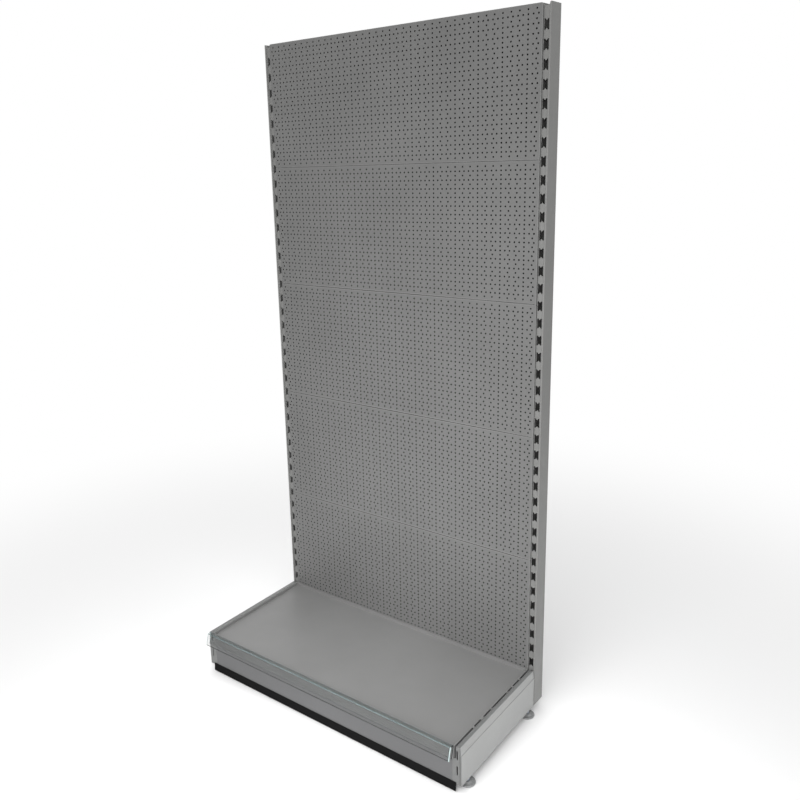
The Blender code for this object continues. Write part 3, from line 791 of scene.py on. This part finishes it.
def plain_margin(pan, rows, loop):
    """The sheet between the hole grid and the outline: top, left, bottom, right."""
    grid_top = rows[0][0] + ROW_PITCH / 2
    grid_low = rows[-1][0] - ROW_PITCH / 2
    side_z = []
    for middle, _ in rows:
        side_z += [middle + ROW_PITCH / 2, middle]
    side_z.append(grid_low)
    mid_corners = [CORNER_STEPS // 2 + (CORNER_STEPS + 1) * k for k in range(4)]
    top_line = [(x, grid_top) for x in line_borders(rows, 0)]
    low_line = [(x, grid_low) for x in line_borders(rows, len(rows))]
    inner_lines = (
        top_line,
        [(-GRID_HALF, z) for z in reversed(side_z)],
        low_line[::-1],
        [(GRID_HALF, z) for z in side_z],
    )
    for k, inner in enumerate(inner_lines):
        first, last = mid_corners[k], mid_corners[(k + 1) % 4]
        count = (last - first) % len(loop) + 1
        pan.both_faces([loop[(first + i) % len(loop)] for i in range(count)] + inner)


def bent_rim(pan, loop, outward):
    """The bent rim: out round the edge, back along it, and in again."""
    outer, inner = PANEL_EDGE_RADIUS, PANEL_EDGE_RADIUS - PANEL_SHEET
    profile = []  # (distance outward, depth, mark for wear and painted highlight)
    for j in range(5):
        angle = math.pi / 2 * j / 4
        # the rounded edge is marked fully: rubbed wear and a painted highlight where light catches
        # it
        wear_and_highlight = 1.0 if 0 < j < 4 else 0.0
        profile.append((outer * math.sin(angle), outer * (1 - math.cos(angle)), wear_and_highlight))
    profile += [(outer, PANEL_RIM_DEPTH, 0.6), (inner, PANEL_RIM_DEPTH, 0.6)]
    for j in range(4):
        angle = math.pi / 2 * (1 - j / 3)
        profile.append((inner * math.sin(angle), outer - inner * math.cos(angle), 0.0))
    for i in range(len(loop)):
        j = (i + 1) % len(loop)
        for start, end in zip(profile, profile[1:]):
            face = []
            for k, (out, depth, wear_and_highlight) in ((i, start), (i, end), (j, end), (j, start)):
                x, z = loop[k]
                way_x, way_z = outward[k]
                vert = pan.vert(x + way_x * out, depth, z + way_z * out, wear_and_highlight)
                if vert not in face:
                    face.append(vert)
            if len(face) > 2:
                pan.faces.append(face)


def panel_folds(top, low):
    """Deep folds along the top and bottom."""
    folds = []
    for edge, way in ((top, -1), (low, 1)):
        line = [(1.6, way * 0.06), (15.0, way * 0.06), (15.0, way * 12.0)]
        line = shifted(line, up=edge)[::way * -1]
        folds.append(sweep(sheet(line, PANEL_SHEET, 0.7, 3), "X", -484, 484))
    return folds


# (depth, height from the hook's top)
PANEL_CLAW = [(4.6, -14), (8.6, -14), (8.6, -21), (11.2, -21), (11.2, 0), (4.6, 0)]


def panel_hooks(index):
    """Two hooks on each side, each on a small foot behind the rim."""
    slots_per_panel = round(PANEL_PITCH / SLOT_PITCH)
    hooks = []
    for _, side in SIDES:
        for k in (1, 6):
            z = slot_height(slots_per_panel * index + k)
            claw = fillet(shifted(PANEL_CLAW, up=z), [0, 0.5, 0.7, 1.1, 2.0, 0], True, 3)
            hooks.append(sweep(claw, "X", side * 493.4, side * 494.6))
            hooks.append(block(side * 490.6, side * 494.6, 4.6, 5.8, z - 14, z))
    return hooks


def back_panel(index):
    """A pan of thin sheet with two hole grids that share their rows in turn."""
    top = panel_top(index)
    low = top - PANEL_HEIGHT
    pan = PanMesh()
    rows = hole_rows(top)
    for k, (middle, borders) in enumerate(rows):
        line_up, line_down = line_borders(rows, k), line_borders(rows, k + 1)
        for left, right in zip(borders, borders[1:]):
            hole_cell(pan, left, right, middle, line_up, line_down)
    loop, outward = flat_outline(top, low, corner=5.5 if index == 0 else 2.8)
    plain_margin(pan, rows, loop)
    bent_rim(pan, loop, outward)
    parts = [pan.to_bmesh()] + panel_folds(top, low) + panel_hooks(index)
    piece(f"back_panel_{index + 1}", parts, "frame", PANEL)


for i in range(PANEL_COUNT):
    back_panel(i)


# ---------------------------------------------------------------- uprights
# one face of the folded channel, (x from the upright's centre, depth)
UPRIGHT_LINE = [
    (5.0, 61.4), (15.0, 61.4), (15.0, 1.4), (9.6, 1.4), (9.6, 6.4),
    (-9.6, 6.4), (-9.6, 1.4), (-15.0, 1.4), (-15.0, 61.4), (-5.0, 61.4),
]
# waisted slot, (x from its middle, z from its middle)
SLOT = [
    (-7.1, 14.3), (-3.4, 14.3), (0, 9.3), (3.4, 14.3), (7.1, 14.3),
    (7.1, -14.3), (3.4, -14.3), (0, -9.3), (-3.4, -14.3), (-7.1, -14.3),
]
# notch in the top end, (x from the upright's centre, z from its top)
TOP_NOTCH = [(-5.2, -8), (5.2, -8), (12.4, -0.4), (12.4, 2), (-12.4, 2), (-12.4, -0.4)]


def upright(name, side):
    centre = side * BAY_HALF
    cutters = []
    for k in range(SLOT_COUNT):
        slot = shifted(SLOT, up=slot_height(k))
        slot = fillet(slot, [1.2, 0.7, 0.8, 0.7, 1.2] * 2, True, 3)
        cutters.append(sweep(shifted(slot, centre), "Y", 5.4, 9.2))
    notch = fillet(shifted(TOP_NOTCH, up=TOP), [3.2, 3.2, 2.4, 0, 0, 2.4], True, 6)
    cutters.append(sweep(shifted(notch, centre), "Y", 0.0, 9.4))
    # openings in the inner wall for the tie bars' hooks
    for z in TIE_BAR_HEIGHTS.values():
        cutters.append(
            block(centre - side * 16, centre - side * 12.2, 33.7, 35.8, z - 8.4, z + 20.4)
        )
    section = shifted(sheet(UPRIGHT_LINE, 1.8, 0.7, 5), centre)
    body = cut(sweep(section, "Z", 24.0, TOP), cutters)
    piece("upright_" + name, [body], "frame", POST)


for side_name, side_sign in SIDES:
    upright(side_name, side_sign)


# ----------------------------------------------------------- rear tie bars
# (depth, z from the bar's middle)
TIE_BAR_LINE = [(20.0, 25), (35.5, 25), (35.5, -25), (20.0, -25)]
# (x, z from the bar's middle)
TIE_BAR_HOOK = [
    (481.5, -8), (487.1, -8), (487.1, -15), (489.6, -15), (489.6, 12), (481.5, 12),
]


def tie_bar(name, z):
    section = sheet(shifted(TIE_BAR_LINE, up=z), 1.5, 1.2, 5)
    parts = [sweep(section, "X", -484.5, 484.5)]
    hook = fillet(shifted(TIE_BAR_HOOK, up=z), [0, 0.6, 0.8, 1.2, 2.4, 0], True, 4)
    for _, side in SIDES:
        parts.append(sweep(flip(hook, side), "Y", 34.0, 35.5))
    piece("rear_tie_bar_" + name, parts, "frame", BAR)


for bar_name, bar_height in TIE_BAR_HEIGHTS.items():
    tie_bar(bar_name, bar_height)


# --------------------------------------------------------------- base legs
# (x, z) round the end of the right leg, and the radius at each corner
LEG_END = [
    (485, 24), (485, 109.7), (497.5, 109.7), (497.5, 150), (511.4, 150),
    (513.7, 126.6), (512.5, 125.0), (515, 122.6), (515, 24),
]
LEG_END_RADII = [2.0, 2.0, 1.0, 2.4, 2.4, 0.9, 0.6, 1.4, 1.6]
# (depth, z from a slot's middle)
LEG_CLAW = [(-1.2, -13.9), (8.6, -13.9), (8.6, -22), (11.4, -22), (11.4, 2), (-1.2, 2)]


def leg_shell(side):
    """The folded length of a leg, with its foot holes and clip hole."""
    hole = [(0, 22), (5.6, 22), (5.6, 28), (0, 28)]
    cutters = [lathe(hole, (side * FOOT_X, depth), 32) for depth in FOOT_DEPTHS.values()]
    half = 2.8
    cutters.append(
        block(
            side * 484, side * 488,
            BUTTON_DEPTH - half, BUTTON_DEPTH + half,
            BUTTON_HEIGHT - half, BUTTON_HEIGHT + half,
            0.4,
        )
    )
    section = flip(sheet([(512.8, 24)] + LEG_END, LEG_SHEET, 1.2, 5), side)
    return cut(sweep(section, "Y", LEG_FRONT + 0.8, LEG_BACK), cutters)


def leg_ends(side):
    """The front plate, with two slots and a long slit, and the plain back plate."""
    cut_from, cut_to = LEG_FRONT - 2, LEG_FRONT + 3
    cutters = []
    for z in (71.0, 121.0):
        opening = fillet(rectangle(499.0, 503.4, z - 15, z + 15), 1.9, True, 4)
        cutters.append(sweep(flip(opening, side), "Y", cut_from, cut_to))
    cutters.append(block(side * 509.5, side * 511.3, cut_from, cut_to, 27, 145))
    plate = flip(fillet(LEG_END, LEG_END_RADII, True, 5), side)
    front = cut(sweep(plate, "Y", LEG_FRONT, LEG_FRONT + LEG_SHEET), cutters)
    return [front, sweep(plate, "Y", LEG_BACK - LEG_SHEET, LEG_BACK)]


def base_leg(name, side):
    parts = [leg_shell(side)] + leg_ends(side)
    for k in (39, 40):
        claw = shifted(LEG_CLAW, up=slot_height(k))
        claw = fillet(claw, [0, 0.8, 0.8, 1.2, 2.2, 0], True, 4)
        parts.append(sweep(claw, "X", side * 503.8, side * 506.8))
    piece("base_leg_" + name, parts, "frame", LEG)


for side_name, side_sign in SIDES:
    base_leg(side_name, side_sign)


# ---------------------------------------------------------- levelling feet
# turned profiles, (radius, z)
PAD_PROFILE = [
    (0, 0), (23.6, 0), (24.5, 0.35), (25.0, 1.2), (25.0, 3.4), (24.7, 4.3),
    (23.8, 4.9), (22.0, 5.0), (21.4, 4.7), (16.2, 5.2), (15.2, 5.5),
    (12.6, 7.0), (11.2, 8.3), (10.4, 8.6), (6.2, 8.6), (5.5, 8.2),
    (5.4, 2.4), (0, 2.4),
]
STUD_PROFILE = [
    (0, 2.8), (3.6, 2.8), (4.4, 3.6), (4.4, 15.0), (4.1, 15.4),
    (4.1, 60.6), (3.3, 62.0), (1.0, 62.0), (0.9, 61.2), (0, 61.2),
]
RIB_COUNT = 12


def foot_pad(tag, centre):
    """A round pad with radial ribs on top."""
    parts = [lathe(PAD_PROFILE, centre, 72)]
    for k in range(RIB_COUNT):
        rib = block(12.0, 21.8, -0.55, 0.55, 4.0, 5.9, 0.3)
        bmesh.ops.rotate(
            rib,
            verts=rib.verts,
            cent=(0, FACE * 0.001, 0),
            matrix=Matrix.Rotation(2 * math.pi * k / RIB_COUNT, 3, "Z"),
        )
        place = (centre[0] * 0.001, centre[1] * 0.001, 0)
        bmesh.ops.translate(rib, verts=rib.verts, vec=place)
        parts.append(rib)
    piece("foot_pad_" + tag, parts, "frame", PAD)


def foot_stud(tag, centre):
    parts = [
        lathe(STUD_PROFILE, centre, 32),
        hexagon(14, centre, 9.2, 15.0),
        thread(centre, 15.4, 61.2, major=4.9, minor=4.05, pitch=1.5),
    ]
    piece("foot_stud_" + tag, parts, "foot_stud_" + tag, ZINC)


def foot_nut(tag, centre):
    bore = lathe([(0, 20), (5.2, 20), (5.2, 40), (0, 40)], centre, 40)
    nut = cut(hexagon(17, centre, 25.8, 33.8, chamfer=0.9), [bore])
    piece("foot_nut_" + tag, [nut], "frame", ZINC)


for end_name, foot_depth in FOOT_DEPTHS.items():
    for side_name, side_sign in SIDES:
        foot_tag = f"{end_name}_{side_name}"
        foot_centre = (side_sign * FOOT_X, foot_depth)
        foot_pad(foot_tag, foot_centre)
        foot_stud(foot_tag, foot_centre)
        foot_nut(foot_tag, foot_centre)


# -------------------------------------------------------------- base shelf
# one face of the folded tray, (depth, z)
SHELF_LINE = [
    (-440.0, 119.0), (-440.0, 111.0), SHELF_LIP_FOOT, SHELF_LIP_TOP,
    (-446.0, 150.0), (-446.0, 140.0), (-3.2, 140.0), (-3.2, 150.5),
    (-0.8, 150.5), (-0.8, 110.0), (-14.8, 110.0),
]
# the rim along the right side, (x, z)
SHELF_RIM = [
    (478, 110), (492.5, 110), (492.5, 150), (490.1, 150),
    (490.1, 139.4), (491.3, 139.4), (491.3, 111.2), (478, 111.2),
]
# the plate that closes each end of the front lip, (depth, z)
SHELF_GUSSET = [(-446.4, 149.3), (-450.0, 149.3), (-458.5, 111.9), (-441.0, 111.9)]
# tabs on the side rims, (front end in depth, length)
SHELF_TABS = ((-70, 7), (-117, 7), (-151, 7), (-250, 7), (-309, 16), (-354, 7))
# one face of a tab, (x, z)
SHELF_TAB_LINE = [(491.4, 148.6), (491.4, 151.75), (499.0, 151.75)]
# hat section under the shelf, (depth, z)
STIFFENER_LINE = [
    (-262, 138.4), (-248, 138.4), (-244, 114), (-210, 114), (-206, 138.4), (-192, 138.4),
]


def shelf_cove():
    """The hollow curve where the deck meets the right rim, as (x, z)."""
    rim_x, top, radius = 490.1, 141.3, 1.3
    cove = [(490.4, top), (rim_x, top)]
    for j in range(1, 6):
        angle = math.pi / 2 * j / 5
        cove.append((rim_x - radius + radius * math.cos(angle), top - radius * math.sin(angle)))
    return cove + [(488.8, 139.6), (490.4, 139.6)]


def base_shelf():
    parts = [sweep(sheet(SHELF_LINE, 1.2, 0.8, 5), "X", -491.4, 491.4)]
    rim = fillet(SHELF_RIM, [0, 1.8, 1.17, 1.17, 0, 0, 0.6, 0], True, 5)
    gusset = fillet(SHELF_GUSSET, [0.6, 1.2, 1.0, 0.4], True, 4)
    tab = sheet(SHELF_TAB_LINE, 1.2, 0.5, 4)
    for _, side in SIDES:
        parts.append(sweep(flip(rim, side), "Y", -447.4, -1.0))
        parts.append(sweep(flip(shelf_cove(), side), "Y", -446.2, -3.0))
        parts.append(sweep(gusset, "X", side * 490.9, side * 492.1))
        for depth, length in SHELF_TABS:
            parts.append(sweep(flip(tab, side), "Y", depth, depth + length))
    piece("base_shelf", parts, "base_shelf", SHELF)


def shelf_stiffener():
    section = sheet(STIFFENER_LINE, 1.2, 1.4, 4)
    parts = [sweep(section, "X", -470, 470)]
    piece("shelf_stiffener", parts, "base_shelf", SHELF)


base_shelf()
shelf_stiffener()


# ----------------------------------------------------- label rail and lens
# bridge along the rail's top, (depth, z)
RAIL_BRIDGE = [
    (-450.3, 150.4), (-450.3, 151.6), (-461.4, 151.6), (-462.4, 150.9),
    (-462.4, 149.9), (-461.6, 150.4),
]
# (depth, z)
LENS_OUTLINE = [
    (-463.1, 151.1), (-464.1, 151.1), (-464.5, 150.6), (-474.8, 111.8),
    (-474.8, 110.8), (-472.6, 110.8), (-472.6, 111.8), (-473.7, 112.2),
    (-463.1, 149.6),
]


def off_lip(point, away, along):
    """A point moved off the shelf's sloped front, and along it upwards."""
    slope = math.atan2(
        SHELF_LIP_TOP[0] - SHELF_LIP_FOOT[0], SHELF_LIP_TOP[1] - SHELF_LIP_FOOT[1]
    )
    return (
        point[0] - math.cos(slope) * away + math.sin(slope) * along,
        point[1] + math.sin(slope) * away + math.cos(slope) * along,
    )


def label_rail():
    """A web against the sloped front of the shelf, and the bridge above it."""
    web = [
        off_lip(SHELF_LIP_TOP, 0.35, 0.6),
        off_lip(SHELF_LIP_TOP, 1.55, 0.6),
        off_lip(SHELF_LIP_FOOT, 1.55, 1.4),
        off_lip(SHELF_LIP_FOOT, 3.4, 1.4),
        off_lip(SHELF_LIP_FOOT, 3.4, 0.2),
        off_lip(SHELF_LIP_FOOT, 0.35, 0.2),
    ]
    web = fillet(web, [0, 0.3, 0.3, 0.4, 0.4, 0.3], True, 3)
    bridge = fillet(RAIL_BRIDGE, [0.3, 0.4, 0.9, 0.4, 0.2, 0.2], True, 3)
    parts = [sweep(web, "X", *LABEL_ENDS), sweep(bridge, "X", *LABEL_ENDS)]
    piece("label_rail", parts, "base_shelf", RAIL)


def label_lens():
    outline = fillet(LENS_OUTLINE, [0.3, 0.4, 0.6, 0.6, 0.5, 0.4, 0.3, 0.3, 0.4], True, 3)
    piece("label_lens", [sweep(outline, "X", *LABEL_ENDS)], "label_lens", LENS)


label_rail()
label_lens()


# ------------------------------------------- kick plate, clips and skirt
# the plate's front face and top return, (depth, z)
KICK_LINE = [(LEG_FRONT, 29.5), (LEG_FRONT, 107.5), (-438, 107.5)]
# the flange at each end, with a tongue towards the back, (depth, z)
KICK_FLANGE = [
    (LEG_FRONT + 0.6, 38.5), (-428, 38.5), (-428, 62), (-411, 63),
    (-411, 77), (-428, 78), (-428, 104.5), (LEG_FRONT + 0.6, 104.5),
]
# one face of the right clip's strip, (x, depth)
CLIP_LINE = [(478.0, -425), (478.9, -422), (478.9, -408), (484.6, -408), (484.6, -424)]
# (depth from the legs' front, z)
SKIRT_OUTLINE = [
    (-1.6, 31.5), (-0.3, 31.5), (-0.3, 29.2), (1.5, 29.2), (1.5, 37), (2.8, 37),
    (2.8, 27.1), (-0.4, 25.5), (-2.0, 3), (-4.0, 3), (-2.4, 26.5),
]
SKIRT_RADII = [0.6, 0.2, 0.1, 0.2, 0.2, 0.5, 0.8, 1.0, 0.6, 0.8, 2.0]


def kick_plate():
    parts = [sweep(sheet(KICK_LINE, 1.2, 1.0, 5), "X", -484.2, 484.2)]
    flange = fillet(KICK_FLANGE, [0, 3, 3, 4, 4, 3, 3, 0], True, 4)
    for _, side in SIDES:
        parts.append(sweep(flange, "X", side * 480, side * 481.2))
    piece("kick_plate", parts, "kick_plate", KICK)


def kick_clip(name, side):
    """A bent spring strip with a button that enters the leg's clip hole."""
    half = 2.4
    button = rectangle(
        BUTTON_DEPTH - half, BUTTON_DEPTH + half, BUTTON_HEIGHT - half, BUTTON_HEIGHT + half
    )
    parts = [
        sweep(flip(sheet(CLIP_LINE, 0.8, 0.8, 4), side), "Z", 64, 76),
        sweep(fillet(button, 1.0, True, 3), "X", side * 484.2, side * 488.0),
    ]
    piece("kick_clip_" + name, parts, "frame", CLIP)


def kick_plate_skirt():
    """A strip along the plate's foot, cut back where it passes the legs."""
    outline = fillet(shifted(SKIRT_OUTLINE, across=LEG_FRONT), SKIRT_RADII, True, 3)
    cutters = [
        block(side * 484.4, side * 515, LEG_FRONT - 0.3, LEG_FRONT + 10, 10, 60)
        for _, side in SIDES
    ]
    body = cut(sweep(outline, "X", -496, 498), cutters)
    piece("kick_plate_skirt", [body], "kick_plate", SKIRT)


kick_plate()
for side_name, side_sign in SIDES:
    kick_clip(side_name, side_sign)
kick_plate_skirt()


# ------------------------------------------------------- floor and painted-shade cards
scene = bpy.context.scene


def staged(name, points, faces, material):
    """A part of the set, which is not part of the product."""
    mesh = bpy.data.meshes.new(name)
    mesh.from_pydata(points, [], faces)
    mesh.materials.append(material)
    made = bpy.data.objects.new(name, mesh)
    scene.collection.objects.link(made)


def floor_material():
    """Pale floor that fades to plain white away from the bay, for the camera."""
    graph = new_material("floor_pale")
    shader = graph.principled({
        "Base Color": (0.88, 0.88, 0.88, 1),
        "Roughness": 0.85,
        "Specular IOR Level": 0.1,
    })
    distance = graph.node("VectorMath", {0: graph.object_coords()}, operation="LENGTH")
    fade = graph.ramp(
        distance.outputs["Value"],
        span=(0.7, 3.0),
        out=(0.0, 1.0),
        interpolation_type="SMOOTHSTEP",
    )
    seen = graph.node("LightPath").outputs["Is Camera Ray"]
    graph.mix_shaders(graph.times(fade, seen), shader, graph.node("Emission"))
    return graph.owner


CARD_DEPTH = 17.0
UPRIGHT_CARD_DEPTH = 62.6


def shade_card_material():
    """Painted shade: black, but clear to a camera that stands behind the card."""
    graph = new_material("card_painted_shade")
    shader = graph.principled({
        "Base Color": (0.006, 0.006, 0.006, 1),
        "Roughness": 1.0,
        "Specular IOR Level": 0.0,
    })
    eye = graph.node(
        "VectorTransform",
        {"Vector": (0, 0, 0)},
        vector_type="POINT",
        convert_from="CAMERA",
        convert_to="WORLD",
    )
    eye_y = graph.axes(eye.outputs["Vector"])["Y"]
    behind = graph.math("GREATER_THAN", eye_y, (FACE + CARD_DEPTH) / 1000)
    graph.mix_shaders(behind, shader, graph.node("BsdfTransparent"))
    return graph.owner


def painted_shade_cards():
    """Black cards close behind the unit: painted shade in the holes and openings, as a wall there
    would cast.
    """
    # (x from, x to, depth and z of one edge, depth and z of the other)
    cards = [
        (-484.8, 484.8, CARD_DEPTH, 132, CARD_DEPTH, 2126),
        (-510, -490, UPRIGHT_CARD_DEPTH, 27, UPRIGHT_CARD_DEPTH, 2126),
        (490, 510, UPRIGHT_CARD_DEPTH, 27, UPRIGHT_CARD_DEPTH, 2126),
    ]
    # narrow ones inside the folds along each panel's top and bottom, painted shade over the lips
    # seen through the holes
    half, near, far = 483.8, 1.7, 13.6
    for k in range(PANEL_COUNT):
        top = panel_top(k)
        low = top - PANEL_HEIGHT
        cards += [
            (-half, half, far, low + 1.5, far, low + 12.2),
            (-half, half, near, low + 1.5, far, low + 1.5),
            (-half, half, far, top - 12.2, far, top - 1.5),
        ]
    points, faces = [], []
    for x0, x1, depth0, z0, depth1, z1 in cards:
        first = len(points)
        for x, depth, z in ((x0, depth0, z0), (x1, depth0, z0), (x1, depth1, z1), (x0, depth1, z1)):
            points.append((x / 1000, (FACE + depth) / 1000, z / 1000))
        faces.append(tuple(range(first, first + 4)))
    staged("painted_shade_cards", points, faces, shade_card_material())


FLOOR_HALF, FLOOR_Z = 40, -0.0004
floor_points = [
    (x, y, FLOOR_Z) for x, y in rectangle(-FLOOR_HALF, FLOOR_HALF, -FLOOR_HALF, FLOOR_HALF)
]
staged("floor", floor_points, [(0, 1, 2, 3)], floor_material())
painted_shade_cards()


# -------------------------------------------------------- light and camera
def studio_world():
    """White light all round, and plain white to the camera."""
    graph = Graph(bpy.data.worlds.new("studio"))
    white = (1.0, 1.0, 1.0, 1)
    lighting = graph.nodes["Background"]
    graph.feed(lighting, {"Color": white, "Strength": 0.74})
    seen = graph.node("Background", {"Color": white, "Strength": 1.0})
    camera_ray = graph.node("LightPath").outputs["Is Camera Ray"]
    graph.mix_shaders(camera_ray, lighting, seen, output="World Output")
    scene.world = graph.owner


# (name, place, aim, width in m, power in W, spread in degrees)
LAMPS = (
    ("key", (1.75, -2.35, 2.15), (0.1, 0.1, 0.9), 0.5, 15.0, 180.0),
    ("low", (0.45, -1.55, 1.05), (0.0, 0.1, 0.35), 1.2, 18.0, 180.0),
    ("side", (3.4, -0.6, 1.5), (0.4, 0.1, 0.7), 2.2, 2.0, 180.0),
    ("down", (0.0, -0.25, 3.4), (0.0, -0.24, 0.0), 1.5, 4.5, 60.0),
    ("fill", (0.1, -0.5, 1.0), (0.0, 0.1, 0.12), 0.7, 0.9, 75.0),
    ("flank", (1.45, -0.45, 0.35), (0.51, 0.0, 0.08), 0.6, 1.8, 180.0),
    ("back", (-1.8, 3.2, 2.6), (0, 0.2, 1.0), 2.4, 26.0, 180.0),
)


def lamp(name, place, aim, size, power, spread):
    """A square area light that the camera doesn't see."""
    data = bpy.data.lights.new(name, "AREA")
    data.spread = math.radians(spread)
    data.shape = "SQUARE"
    data.size = size
    data.energy = power
    made = bpy.data.objects.new(name, data)
    made.location = place
    way = Vector(aim) - Vector(place)
    made.rotation_euler = way.to_track_quat("-Z", "Y").to_euler()
    made.visible_camera = False
    scene.collection.objects.link(made)


CAMERA_PLACE = (1.54938, -1.98137, 1.7605)
# columns are the camera's right, up and backward directions
CAMERA_TURN = (
    (0.774524, -0.131198, 0.618789),
    (0.631393, 0.219352, -0.743793),
    (-0.038148, 0.966784, 0.25273),
)


def add_camera():
    data = bpy.data.cameras.new("camera")
    data.lens = 37.7671
    data.sensor_width = 36
    data.shift_x = 0.08371
    data.shift_y = -0.03
    camera = bpy.data.objects.new("camera", data)
    camera.matrix_world = Matrix.Translation(CAMERA_PLACE) @ Matrix(CAMERA_TURN).to_4x4()
    scene.collection.objects.link(camera)
    scene.camera = camera


studio_world()
for lamp_values in LAMPS:
    lamp(*lamp_values)
add_camera()
scene.view_settings.view_transform = "Standard"
